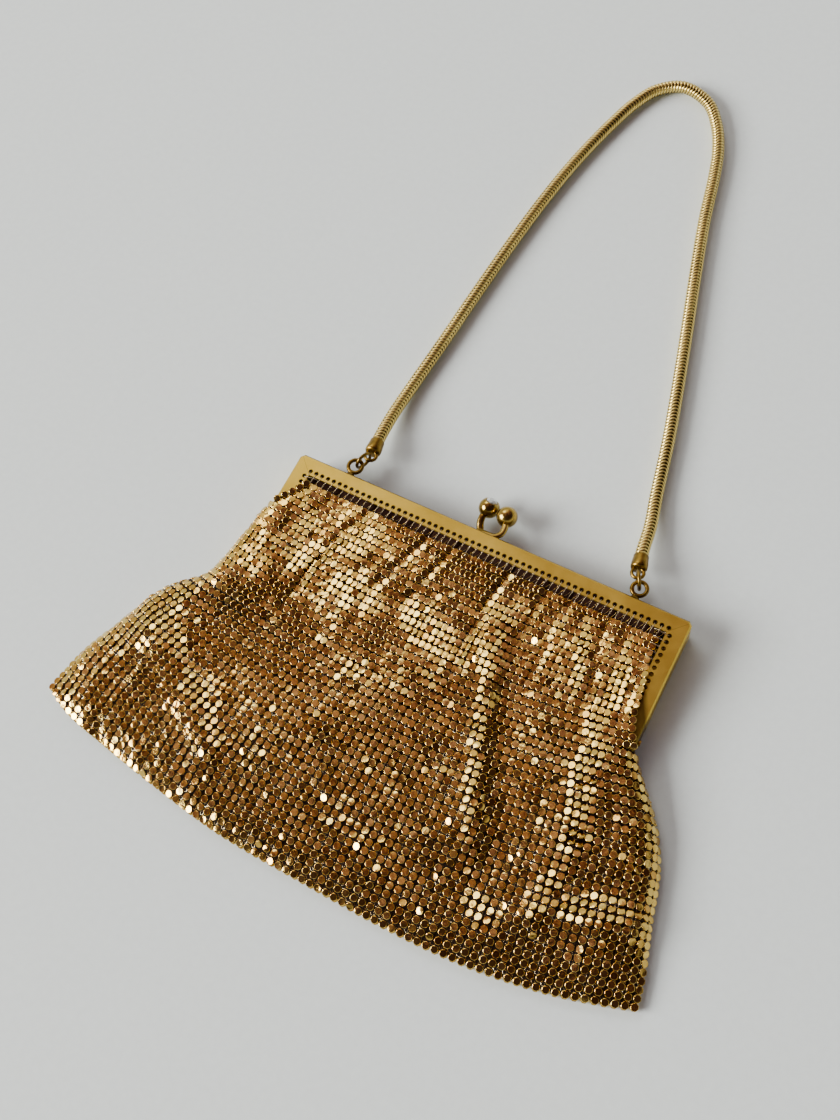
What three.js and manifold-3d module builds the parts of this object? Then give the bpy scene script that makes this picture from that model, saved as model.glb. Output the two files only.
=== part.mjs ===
// Metal mesh purse lying on its back: bar of the frame along X, bag towards -Y, handle chain towards +Y.
// Millimetres, +Z up; heights are measured from the floor and Y from the bar's top edge until the last step.
import * as THREE from "three";
import { mergeVertices } from "three/addons/utils/BufferGeometryUtils.js";
import Module from "manifold-3d";

const wasm = await Module();
wasm.setup();

// ---- frame: two pressed halves of sheet metal, each a wide U with an L section ----
const FRAME_WIDTH = 140;
const ARM_LENGTH = 44;
const FRAME_DEPTH = 11; // both halves closed, front face to back face
const HALF_GAP = 0.4; // slit between the closed halves
const FACE_WIDTH = 6.2; // width of the flat face with the lacing holes
const SHEET = 0.9;
const EDGE_EASE = 0.5; // small chamfer along the outer edge
const CORNER_CUT = 1.2; // pressed corner, cut at 45 degrees
const ARM_SLOPE_START = 20; // the front face falls away from here towards the arm's end
const ARM_FALL = 2; // how far it has fallen at the arm's end
const HOLE_DIAMETER = 1.25;
const HOLE_INSET = 4.8; // hole centres from the outer edge
const HOLE_PITCH = 2.245;
const GAP = 0.35; // clearance between neighbouring pieces

// ---- hinge: one pin at the end of each arm ----
const PIN_DIAMETER = 1.2;
const PIN_HEAD = 2;
const PIN_HEAD_LENGTH = 0.8;
const PIN_FROM_END = 3.4;
const EAR_THICK = 1.1;
const EAR_WIDTH = 5.6;

// ---- clasp: a bent finger with a ball on each half, one ball holds a stone ----
const BALL_DIAMETER = 6.9;
const FINGER_WIDE = 2.1;
const FINGER_THICK = 1.4;
const STONE_DIAMETER = 4;
const STONE_CROWN = 0.75;
const STONE_PAVILION = 0.9;
const STONE_SIDES = 8;
const FRONT_HALF_LEVEL = 0.8; // share of the frame depth at which the front finger and the eyes sit
const FRONT_FINGER = [
  { across: -4.2, up: 0.35, level: 8.8 },
  { across: -1.2, up: 0.35, level: 8.8 },
  { across: 1.3, up: 0.55, level: 8.75 },
  { across: 2.9, up: 2.2, level: 8.5 },
  { across: 3.1, up: 4.4, level: 8.1 },
  { across: 2.2, up: 7.4, level: 7.4 },
];
const FRONT_BALL = { across: 1.7, up: 9.2, level: 7.1 };
const BACK_FINGER = [
  { across: -4.3, up: -0.3, level: 3.0 },
  { across: -4.9, up: 2.2, level: 3.2 },
  { across: -6.1, up: 4.8, level: 3.8 },
  { across: -6.4, up: 7.0, level: 4.4 },
  { across: -5.9, up: 9.2, level: 4.8 },
];
const BACK_BALL = { across: -5.6, up: 10.5, level: 5.0 };
const STONE_FACING = new THREE.Vector3(0.1, 0.76, 0.64).normalize();

// ---- eyes, links and end cups of the chain ----
const EYE_RADIUS = 2.35; // to the middle of the wire
const EYE_WIRE = 1.0;
const EYE_UP = 3.9;
const LINK_RADIUS = 2.9;
const LINK_WIRE = 1.15;
const LUG_RADIUS = 2.5;
const LUG_HOLE = 2.7;
const LUG_THICK = 1.2;
const CUP_LENGTH = 7.8; // hole of the lug to the cup's mouth
const CUP_WALL = 0.45;
const CHAIN_DIAMETER = 4.2;
const CHAIN_ENDS = [
  // the eye across the bar, then the hole of the lug and the way the cup points
  { side: "left", eye: -52.0, lug: [-49.8, 10.1, 7.0], towards: [-1.2, 7.4, -1.6] },
  { side: "right", eye: 50.5, lug: [47.6, 9.2, 7.0], towards: [-1.8, 7.4, -1.6] },
];

// ---- handle chain: route of its middle line, shares of the frame width and of the handle's reach ----
const HANDLE_REACH = 196.6;
const CHAIN_ROUTE = [
  { across: -0.37, up: 0.15, lift: 0.27 },
  { across: -0.367, up: 0.21, lift: 0.05 },
  { across: -0.355, up: 0.32, lift: 0.01 },
  { across: -0.344, up: 0.432, lift: 0 },
  { across: -0.331, up: 0.544, lift: 0 },
  { across: -0.314, up: 0.655, lift: 0 },
  { across: -0.29, up: 0.763, lift: 0 },
  { across: -0.254, up: 0.869, lift: 0 },
  { across: -0.227, up: 0.928, lift: 0 },
  { across: -0.189, up: 0.975, lift: 0 },
  { across: -0.128, up: 1.0, lift: 0 },
  { across: -0.05, up: 0.983, lift: 0 },
  { across: 0.002, up: 0.938, lift: 0 },
  { across: 0.036, up: 0.887, lift: 0 },
  { across: 0.058, up: 0.834, lift: 0 },
  { across: 0.091, up: 0.732, lift: 0 },
  { across: 0.136, up: 0.616, lift: 0 },
  { across: 0.178, up: 0.513, lift: 0 },
  { across: 0.221, up: 0.405, lift: 0 },
  { across: 0.26, up: 0.301, lift: 0.01 },
  { across: 0.295, up: 0.193, lift: 0.05 },
  { across: 0.315, up: 0.137, lift: 0.3 },
];
const CHAIN_STEPS = 58;
const CHAIN_SIDES = 10;

// ---- bag: front and back panel of mesh, hollow and open at the mouth ----
const BAG_HEIGHT = 123.5; // bar's top edge to the lowest point of the bottom
const MOUTH = 6.95; // the mesh starts this far below the bar's top edge
const MESH_WALL = 1.15;
const BAG_COLUMNS = 36;
const BACK_COLUMNS = 12;
// each row: share of the side's depth; left and right edge as shares of half the frame width;
// the rounding of both edges in mm; height of the front panel as a share of the frame depth
const BAG_ROWS = [
  { depth: 0, left: 0.893, right: 0.893, leftRound: 2.2, rightRound: 2.2, height: 0.9 },
  { depth: 0.045, left: 0.92, right: 0.894, leftRound: 2.2, rightRound: 2.2, height: 0.92 },
  { depth: 0.09, left: 0.965, right: 0.897, leftRound: 2.2, rightRound: 2.4, height: 0.935 },
  { depth: 0.16, left: 1.036, right: 0.902, leftRound: 2.2, rightRound: 2.6, height: 0.93 },
  { depth: 0.23, left: 1.064, right: 0.91, leftRound: 2.6, rightRound: 3, height: 0.91 },
  { depth: 0.3, left: 1.087, right: 0.958, leftRound: 3.2, rightRound: 4, height: 0.9 },
  { depth: 0.37, left: 1.113, right: 1.035, leftRound: 4.5, rightRound: 5, height: 0.89 },
  { depth: 0.43, left: 1.155, right: 1.115, leftRound: 8, rightRound: 8, height: 0.87 },
  { depth: 0.5, left: 1.268, right: 1.2, leftRound: 12, rightRound: 10, height: 0.84 },
  { depth: 0.58, left: 1.343, right: 1.272, leftRound: 14, rightRound: 12, height: 0.81 },
  { depth: 0.66, left: 1.387, right: 1.316, leftRound: 15, rightRound: 13, height: 0.77 },
  { depth: 0.75, left: 1.44, right: 1.35, leftRound: 15, rightRound: 14, height: 0.7 },
  { depth: 0.84, left: 1.49, right: 1.39, leftRound: 15, rightRound: 14, height: 0.61 },
  { depth: 0.92, left: 1.516, right: 1.424, leftRound: 14, rightRound: 13, height: 0.5 },
  { depth: 0.97, left: 1.535, right: 1.44, leftRound: 11, rightRound: 11, height: 0.38 },
  { depth: 1, left: 1.549, right: 1.447, leftRound: 8, rightRound: 8, height: 0.25 },
];
// the bottom edge: share across from the left (-1) to the right (1), and its drop as a share of the height
const BAG_BOTTOM = [
  { across: -1, drop: 0.861 },
  { across: -0.9, drop: 0.9 },
  { across: -0.75, drop: 0.927 },
  { across: -0.53, drop: 0.96 },
  { across: -0.28, drop: 0.989 },
  { across: 0, drop: 0.997 },
  { across: 0.28, drop: 1 },
  { across: 0.53, drop: 0.989 },
  { across: 0.75, drop: 0.958 },
  { across: 0.9, drop: 0.922 },
  { across: 1, drop: 0.893 },
];
// folds and dents of the front panel, from one end to the other: shares of half the frame width
// and of the bag height; width and rise in mm, a dent has a negative rise
const BAG_FOLDS = [
  { name: "slack over the left arm", x0: -0.95, y0: 0.1, x1: -0.97, y1: 0.37, width: 5.5, rise: 3.2 },
  { name: "long fold right of the middle", x0: 0.2, y0: 0.21, x1: 0.54, y1: 0.74, width: 5, rise: 1.7 },
  { name: "trough beside it", x0: 0.33, y0: 0.22, x1: 0.66, y1: 0.72, width: 5, rise: -1.3 },
  { name: "fold below the right arm", x0: 0.87, y0: 0.41, x1: 0.9, y1: 0.82, width: 6, rise: 1.4 },
  { name: "low fold at the right corner", x0: 0.91, y0: 0.81, x1: 1.31, y1: 0.72, width: 5, rise: 1.5 },
  { name: "crease of the left flap", x0: -1.21, y0: 0.61, x1: -0.66, y1: 0.82, width: 5, rise: 1.6 },
  { name: "left edge fold", x0: -1.3, y0: 0.56, x1: -1.43, y1: 0.76, width: 5, rise: 1.3 },
  { name: "dent left of the middle", x0: -0.98, y0: 0.52, x1: -0.76, y1: 0.6, width: 11, rise: -1.1 },
  { name: "soft swell low in the middle", x0: -0.51, y0: 0.73, x1: -0.32, y1: 0.66, width: 8, rise: 1 },
];
const GATHERS = 7;
const GATHER_RISE = 0.95;
const GATHER_FADE = 0.55; // share of the depth at which the gathers have gone

// ---- lining: dark band behind the mesh at the mouth ----
const LINING_WALL = 0.6;
const LINING_DROP = 0.7; // clearance below the folds of the front panel
const LINING_TOP = 1.9;
const LINING_DEPTH = 0.13;
const LINING_COLUMNS = 30;

const COLOURS = {
  frame: { color: 0xc49a36, roughness: 0.34, metalness: 1 },
  mesh: { color: 0xcda858, roughness: 0.3, metalness: 1 },
  chain: { color: 0xa88732, roughness: 0.36, metalness: 1 },
  pin: { color: 0xa07a34, roughness: 0.4, metalness: 1 },
  stone: { color: 0xf2f4f4, roughness: 0.05, metalness: 0 },
  lining: { color: 0x2a140b, roughness: 0.85, metalness: 0 },
};

const purse = new THREE.Group();
const MIDDLE = FRAME_DEPTH / 2;
const HALF_WIDTH = FRAME_WIDTH / 2;

// Value of one column of a table at a place, eased between the two rows around it.
function along(rows, key, at, column) {
  const last = rows.length - 1;
  let i = 0;
  while (i < last - 1 && at > rows[i + 1][key]) i++;
  const a = rows[i];
  const b = rows[i + 1];
  const t = Math.min(1, Math.max(0, (at - a[key]) / (b[key] - a[key])));
  const before = rows[Math.max(0, i - 1)];
  const after = rows[Math.min(last, i + 2)];
  const span = b[key] - a[key];
  const m0 = i > 0 ? ((b[column] - before[column]) / (b[key] - before[key])) * span : b[column] - a[column];
  const m1 = i < last - 1 ? ((after[column] - a[column]) / (after[key] - a[key])) * span : b[column] - a[column];
  const t2 = t * t;
  const t3 = t2 * t;
  return (2 * t3 - 3 * t2 + 1) * a[column] + (t3 - 2 * t2 + t) * m0 + (3 * t2 - 2 * t3) * b[column] + (t3 - t2) * m1;
}

// A triangle mesh from points and faces.
function meshOf(points, faces) {
  const g = new THREE.BufferGeometry();
  g.setAttribute("position", new THREE.BufferAttribute(new Float32Array(points.flat()), 3));
  g.setIndex(faces.flat());
  return g;
}

// Triangles of a flat end, from its outline.
function flatEnds(outline) {
  return THREE.ShapeUtils.triangulateShape(outline.map(([x, y]) => new THREE.Vector2(x, y)), []);
}

// A closed body skinned over rings that all have the same number of points.
function skin(rings, ends) {
  const n = rings[0].length;
  const faces = [];
  for (let r = 0; r < rings.length - 1; r++)
    for (let i = 0; i < n; i++) {
      const j = (i + 1) % n;
      const a = r * n;
      const b = a + n;
      faces.push([a + i, b + i, b + j], [a + i, b + j, a + j]);
    }
  const top = (rings.length - 1) * n;
  const along01 = ends.some(([a, b, c]) => (a === 0 && b === 1) || (b === 0 && c === 1) || (c === 0 && a === 1));
  for (const [a, b, c] of ends.map((t) => (along01 ? t : [t[0], t[2], t[1]]))) faces.push([a, b, c], [top + a, top + c, top + b]);
  return meshOf(rings.flat(), faces);
}

// The closed solid of a geometry, turned the right way out.
function solid(geometry, matrix) {
  const g = (geometry.index ? geometry.toNonIndexed() : geometry.clone()).deleteAttribute("normal");
  g.deleteAttribute("uv");
  if (matrix) g.applyMatrix4(matrix);
  const merged = mergeVertices(g, 1e-4);
  const triVerts = new Uint32Array(merged.index.array);
  const p = merged.attributes.position.array;
  let volume = 0;
  for (let i = 0; i < triVerts.length; i += 3) {
    const [a, b, c] = [0, 1, 2].map((k) => new THREE.Vector3().fromArray(p, triVerts[i + k] * 3));
    volume += a.dot(b.cross(c));
  }
  if (volume < 0)
    for (let i = 0; i < triVerts.length; i += 3) [triVerts[i + 1], triVerts[i + 2]] = [triVerts[i + 2], triVerts[i + 1]];
  return new wasm.Manifold(new wasm.Mesh({ numProp: 3, vertProperties: p, triVerts }));
}

function geometryOf(made) {
  const m = made.getMesh();
  const flat = new Float32Array(m.numVert * 3);
  for (let i = 0; i < m.numVert; i++)
    for (let k = 0; k < 3; k++) flat[i * 3 + k] = m.vertProperties[i * m.numProp + k];
  const g = new THREE.BufferGeometry();
  g.setAttribute("position", new THREE.BufferAttribute(flat, 3));
  g.setIndex(Array.from(m.triVerts));
  return g;
}

function add(name, made, look) {
  const material = new THREE.MeshStandardMaterial(COLOURS[look]);
  const mesh = new THREE.Mesh(geometryOf(made), material);
  mesh.name = name;
  purse.add(mesh);
}

function box(x0, x1, y0, y1, z0, z1) {
  return solid(
    new THREE.BoxGeometry(x1 - x0, y1 - y0, z1 - z0),
    new THREE.Matrix4().makeTranslation((x0 + x1) / 2, (y0 + y1) / 2, (z0 + z1) / 2),
  );
}

function ball(at) {
  const turned = new THREE.Matrix4().makeRotationX(Math.PI / 2).setPosition(at.across, at.up, at.level);
  return solid(new THREE.SphereGeometry(BALL_DIAMETER / 2, 16, 10), turned);
}

// A rod along a table of rows, with an oval section.
function finger(rows) {
  const oval = new THREE.Shape();
  for (let i = 0; i < 8; i++) {
    const a = ((i + 0.5) / 8) * 2 * Math.PI;
    const [x, y] = [(Math.cos(a) * FINGER_THICK) / 2, (Math.sin(a) * FINGER_WIDE) / 2];
    if (i) oval.lineTo(x, y);
    else oval.moveTo(x, y);
  }
  oval.closePath();
  const path = new THREE.CatmullRomCurve3(rows.map((r) => new THREE.Vector3(r.across, r.up, r.level)));
  return solid(new THREE.ExtrudeGeometry(oval, { steps: 10, bevelEnabled: false, extrudePath: path }));
}

// Level of the front face at a distance below the bar's top edge.
function faceLevel(below) {
  const run = ARM_LENGTH - ARM_SLOPE_START;
  return FRAME_DEPTH - ARM_FALL * Math.max(0, (below - ARM_SLOPE_START) / run);
}

// One half of the frame: the L section carried round the U in mitred corners.
function frameHalf(front) {
  const wallEnd = front ? MIDDLE + HALF_GAP / 2 : MIDDLE - HALF_GAP / 2;
  const profile = [
    { inset: 0, under: null },
    { inset: 0, under: EDGE_EASE },
    { inset: EDGE_EASE, under: 0 },
    { inset: FACE_WIDTH, under: 0 },
    { inset: FACE_WIDTH, under: SHEET },
    { inset: SHEET, under: SHEET },
    { inset: SHEET, under: null },
  ];
  const cut = (inset) => Math.max(CORNER_CUT - 0.5 * inset, 0.15);
  const stations = [
    (d) => [HALF_WIDTH - d, ARM_LENGTH],
    (d) => [HALF_WIDTH - d, ARM_SLOPE_START],
    (d) => [HALF_WIDTH - d, d + cut(d)],
    (d) => [HALF_WIDTH - d - cut(d), d],
  ];
  const path = [
    ...stations.map((s) => (d) => [-s(d)[0], s(d)[1]]),
    ...stations.map((s) => (d) => s(d)).reverse(),
  ];
  const rings = path.map((place) =>
    profile.map(({ inset, under }) => {
      const [x, below] = place(inset);
      const face = front ? faceLevel(below) : 0;
      const z = under === null ? wallEnd : front ? face - under : under;
      return [x, -below, z];
    }),
  );
  const end = profile.map(({ inset, under }) => [inset, under === null ? MIDDLE : under]);
  return solid(skin(rings, flatEnds(end)));
}

// Centres of the lacing holes: one row along the bar and down both arms.
function holeCentres() {
  const gaps = 2 * Math.floor((HALF_WIDTH - HOLE_INSET - 0.5 * HOLE_PITCH) / HOLE_PITCH) + 1;
  const centres = [];
  for (let i = 0; i <= gaps; i++) centres.push([(i - gaps / 2) * HOLE_PITCH, -HOLE_INSET]);
  const downArm = Math.floor((ARM_LENGTH - HOLE_INSET - HOLE_PITCH) / HOLE_PITCH);
  for (let k = 1; k <= downArm; k++)
    for (const side of [-1, 1]) centres.push([side * (HALF_WIDTH - HOLE_INSET), -HOLE_INSET - k * HOLE_PITCH]);
  return centres;
}

// A ring of round wire, lying in the plane of its two given directions.
function ring(centre, first, normal, radius, wire, segments, sides) {
  const across = new THREE.Vector3().crossVectors(normal, first).normalize();
  const turn = new THREE.Matrix4().makeBasis(first, across, normal).setPosition(centre);
  return solid(new THREE.TorusGeometry(radius, wire / 2, sides, segments), turn);
}

// ---- front half, with eyes and clasp finger soldered on ----
let front = frameHalf(true);
const holeShape = new THREE.Shape();
for (let i = 0; i < 6; i++) {
  const a = (i / 6) * 2 * Math.PI;
  const [x, y] = [(Math.cos(a) * HOLE_DIAMETER) / 2, (Math.sin(a) * HOLE_DIAMETER) / 2];
  if (i) holeShape.lineTo(x, y);
  else holeShape.moveTo(x, y);
}
holeShape.closePath();
const holeDepth = SHEET + ARM_FALL + 1;
const punch = new THREE.ExtrudeGeometry(holeShape, { depth: holeDepth, bevelEnabled: false });
for (const [x, y] of holeCentres())
  front = front.subtract(solid(punch, new THREE.Matrix4().makeTranslation(x, y, FRAME_DEPTH + 0.5 - holeDepth)));

const eyeLevel = FRAME_DEPTH * FRONT_HALF_LEVEL;
for (const end of CHAIN_ENDS) {
  const centre = new THREE.Vector3(end.eye, EYE_UP, eyeLevel);
  const up = new THREE.Vector3(0, 1, 0);
  const flat = new THREE.Vector3(0, 0, 1);
  const foot = new THREE.CylinderGeometry(0.9, 1.95, 1.7, 10);
  const seat = new THREE.Matrix4().makeScale(1, 1, 0.45).setPosition(end.eye, 0.6, eyeLevel);
  front = front.add(ring(centre, up, flat, EYE_RADIUS, EYE_WIRE, 14, 6)).add(solid(foot, seat));
}
front = front.add(finger(FRONT_FINGER)).add(ball(FRONT_BALL));

// ---- back half, with its clasp finger; its ball is cut flat and pocketed for the stone ----
let back = frameHalf(false).add(finger(BACK_FINGER)).add(ball(BACK_BALL));
const stoneTurn = new THREE.Quaternion().setFromUnitVectors(new THREE.Vector3(0, 1, 0), STONE_FACING);
const ballMiddle = new THREE.Vector3(BACK_BALL.across, BACK_BALL.up, BACK_BALL.level);
const stonePlane = BALL_DIAMETER * 0.335;
function atStone(out) {
  const at = ballMiddle.clone().addScaledVector(STONE_FACING, out);
  return new THREE.Matrix4().compose(at, stoneTurn, new THREE.Vector3(1, 1, 1));
}
const pocketDepth = STONE_PAVILION + 0.35;
back = back
  .subtract(solid(new THREE.CylinderGeometry(BALL_DIAMETER, BALL_DIAMETER, 4, 12), atStone(stonePlane + 2)))
  .subtract(solid(new THREE.CylinderGeometry(STONE_DIAMETER / 2 + 0.25, STONE_DIAMETER / 2 + 0.25, 2 * pocketDepth, 16), atStone(stonePlane)));
const stoneProfile = [
  new THREE.Vector2(0, -STONE_PAVILION),
  new THREE.Vector2(STONE_DIAMETER / 2, 0),
  new THREE.Vector2(STONE_DIAMETER / 2, 0.15),
  new THREE.Vector2(STONE_DIAMETER * 0.29, 0.15 + STONE_CROWN),
  new THREE.Vector2(0, 0.15 + STONE_CROWN),
];
add("clasp_stone", solid(new THREE.LatheGeometry(stoneProfile, STONE_SIDES), atStone(stonePlane)), "stone");

// ---- hinge: the back half's ears stand inside the front half's walls, a pin runs through both ----
const pinUp = (faceLevel(ARM_LENGTH - PIN_FROM_END) - SHEET + MIDDLE + HALF_GAP / 2) / 2;
const pinY = PIN_FROM_END - ARM_LENGTH;
for (const side of [-1, 1]) {
  const span = (near, far) => (side > 0 ? [near, far] : [-far, -near]);
  const inner = HALF_WIDTH - SHEET - GAP - EAR_THICK;
  const [e0, e1] = span(inner, inner + EAR_THICK);
  const earTop = faceLevel(ARM_LENGTH) - SHEET - GAP;
  back = back.add(box(e0, e1, pinY - EAR_WIDTH / 2, pinY + EAR_WIDTH / 2, SHEET / 2, earTop));
  const rod = (diameter, near, far) =>
    solid(
      new THREE.CylinderGeometry(diameter / 2, diameter / 2, far - near, 10),
      new THREE.Matrix4().makeRotationZ(Math.PI / 2).setPosition((side * (near + far)) / 2, pinY, pinUp),
    );
  const bore = rod(PIN_DIAMETER + 2 * 0.2, inner - 1, HALF_WIDTH + 1);
  back = back.subtract(bore);
  front = front.subtract(bore);
  const head = inner - GAP;
  const pin = rod(PIN_DIAMETER, head - 0.2, HALF_WIDTH + GAP + 0.2)
    .add(rod(PIN_HEAD, head - PIN_HEAD_LENGTH, head))
    .add(rod(PIN_HEAD, HALF_WIDTH + GAP, HALF_WIDTH + GAP + 0.5));
  add(side < 0 ? "hinge_pin_left" : "hinge_pin_right", pin, "pin");
}
add("front_frame", front, "frame");
add("back_frame", back, "frame");

// ---- the bag's shape ----
// Rise of the front panel at a place, from the gathers at the mouth and from the folds.
function foldRise(x, y, across, depth) {
  const fade = Math.max(0, 1 - depth / GATHER_FADE);
  let rise = GATHER_RISE * fade * Math.cos(2 * Math.PI * GATHERS * across * 0.5 + 2.2 * depth);
  for (const f of BAG_FOLDS) {
    const [x0, y0] = [f.x0 * HALF_WIDTH, -f.y0 * BAG_HEIGHT];
    const [dx, dy] = [f.x1 * HALF_WIDTH - x0, -f.y1 * BAG_HEIGHT - y0];
    const t = Math.min(1, Math.max(0, ((x - x0) * dx + (y - y0) * dy) / (dx * dx + dy * dy)));
    const away = Math.hypot(x - x0 - t * dx, y - y0 - t * dy);
    rise += f.rise * Math.exp(-((away / f.width) ** 2));
  }
  return rise;
}

const BACK_LEVEL = 0;
// The two edges of the bag at a share of its depth.
function edges(depth) {
  const left = -along(BAG_ROWS, "depth", depth, "left") * HALF_WIDTH;
  const right = along(BAG_ROWS, "depth", depth, "right") * HALF_WIDTH;
  return [left, right];
}
function heightOfFront(x, depth, shrink) {
  const [left, right] = edges(depth);
  const across = (2 * x - left - right) / (right - left);
  const y = rowY(across, depth, 0);
  const full = along(BAG_ROWS, "depth", depth, "height") * FRAME_DEPTH + foldRise(x, y, across, depth) * Math.min(1, 4 * (1.02 - depth));
  const rounding = (from, key) => {
    const r = along(BAG_ROWS, "depth", depth, key) - 0.6 * shrink;
    const t = Math.min(1, Math.max(0, (from - shrink) / r));
    return Math.sqrt(1 - (1 - t) ** 2);
  };
  const side = Math.min(rounding(x - left, "leftRound"), rounding(right - x, "rightRound"));
  const low = edgeLevel(depth);
  return low + (full - shrink - low) * side;
}
// Level of the seam where front and back panel meet.
function edgeLevel(depth) {
  return BACK_LEVEL + 0.5 * Math.min(3.2, along(BAG_ROWS, "depth", depth, "height") * FRAME_DEPTH);
}
function rowY(across, depth, shrink) {
  const bottom = along(BAG_BOTTOM, "across", across, "drop") * BAG_HEIGHT - 1.6 * shrink;
  return -(MOUTH + depth * (bottom - MOUTH));
}

// One ring round the bag: front from left to right, then back from right to left.
function bagRing(depth, shrink, limit, columns, backColumns, backShrink = shrink) {
  let [left, right] = edges(depth);
  left = Math.max(left + shrink, -limit);
  right = Math.min(right - shrink, limit);
  const seam = edgeLevel(depth);
  const [outerLeft, outerRight] = edges(depth);
  const place = (s) => 0.5 * s + 0.5 * Math.sin((s * Math.PI) / 2);
  const at = (s) => {
    const x = (left + right) / 2 + ((right - left) / 2) * place(s);
    const across = (2 * x - outerLeft - outerRight) / (outerRight - outerLeft);
    return { x, y: rowY(across, depth, shrink) };
  };
  const points = [];
  for (let i = 0; i <= columns; i++) {
    const { x, y } = at((2 * i) / columns - 1);
    const z = i === 0 || i === columns ? seam : Math.max(heightOfFront(x, depth, shrink), seam + 0.1);
    points.push([x, y, z]);
  }
  for (let j = backColumns - 1; j > 0; j--) {
    const s = (2 * j) / backColumns - 1;
    const { x, y } = at(s);
    const lift = (seam - BACK_LEVEL - backShrink - 0.1) * Math.max(0, Math.abs(s) - 0.82) * 2.2;
    points.push([x, y, Math.min(BACK_LEVEL + backShrink + Math.max(0, lift), seam - 0.1)]);
  }
  return points;
}

// Triangles across a ring, stitched between its front and its back points.
function ringEnds(columns, backColumns) {
  const faces = [];
  const backIndex = (j) => (j === 0 ? 0 : j === backColumns ? columns : columns + backColumns - j);
  let i = 0;
  let j = 0;
  while (i < columns || j < backColumns) {
    const stepFront = j === backColumns || (i < columns && (i + 1) / columns <= (j + 1) / backColumns);
    const next = stepFront ? i + 1 : backIndex(j + 1);
    const corners = [i, backIndex(j), next];
    if (new Set(corners).size === 3) faces.push(corners);
    if (stepFront) i++;
    else j++;
  }
  return faces;
}

function pouch(rings, columns, backColumns) {
  return solid(skin(rings, ringEnds(columns, backColumns)));
}
function bagPouch(depths, shrink) {
  return pouch(depths.map((d) => bagRing(d, shrink, HALF_WIDTH * 2, BAG_COLUMNS, BACK_COLUMNS)), BAG_COLUMNS, BACK_COLUMNS);
}

const bagDepths = BAG_ROWS.map((r) => r.depth);
let bag = bagPouch(bagDepths, 0);
bag = bag.subtract(bagPouch([-0.03, ...bagDepths], MESH_WALL));
// the mesh stays clear of the arms, and lies over the face of the left one
const clear = FACE_WIDTH + GAP;
for (const side of [-1, 1]) {
  const x = [side * (HALF_WIDTH - clear), side * (HALF_WIDTH + GAP + 0.5 + GAP)].sort((a, b) => a - b);
  const rows = [0, ARM_SLOPE_START, ARM_LENGTH + GAP].map((below) => [-below, faceLevel(below) + GAP]);
  const rings = rows.map(([y, top]) => [
    [x[0], y, -1],
    [x[1], y, -1],
    [x[1], y, top],
    [x[0], y, top],
  ]);
  bag = bag.subtract(solid(skin(rings, flatEnds([[0, 0], [1, 0], [1, 1], [0, 1]]))));
}
const bagBodies = bag.decompose().sort((a, b) => b.volume() - a.volume());
add("mesh_bag", bagBodies[0], "mesh");

// ---- the lining band ----
const liningLimit = HALF_WIDTH - FACE_WIDTH - 1.3;
function liningRings(extra, first) {
  const ringAt = (depth) =>
    bagRing(depth, MESH_WALL + LINING_DROP + extra, liningLimit - extra, LINING_COLUMNS, BACK_COLUMNS, MESH_WALL + GAP + extra);
  const flatTop = (y) =>
    ringAt(0).map(([x, , z]) => {
      const top = FRAME_DEPTH - SHEET - 2 * GAP - extra;
      const low = SHEET + 2 * GAP + extra;
      return [x, y, Math.min(top, Math.max(low, z))];
    });
  const depths = [0.004, 0.045, 0.09, LINING_DEPTH + (extra ? 0.01 : 0)];
  return [flatTop(-first), flatTop(-MOUTH + 1), ...depths.map(ringAt)];
}
const outerLining = liningRings(0, LINING_TOP);
const innerLining = liningRings(LINING_WALL, LINING_TOP - 0.5);
const liningBand = pouch(outerLining, LINING_COLUMNS, BACK_COLUMNS).subtract(pouch(innerLining, LINING_COLUMNS, BACK_COLUMNS));
add("bag_lining", liningBand, "lining");

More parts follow.
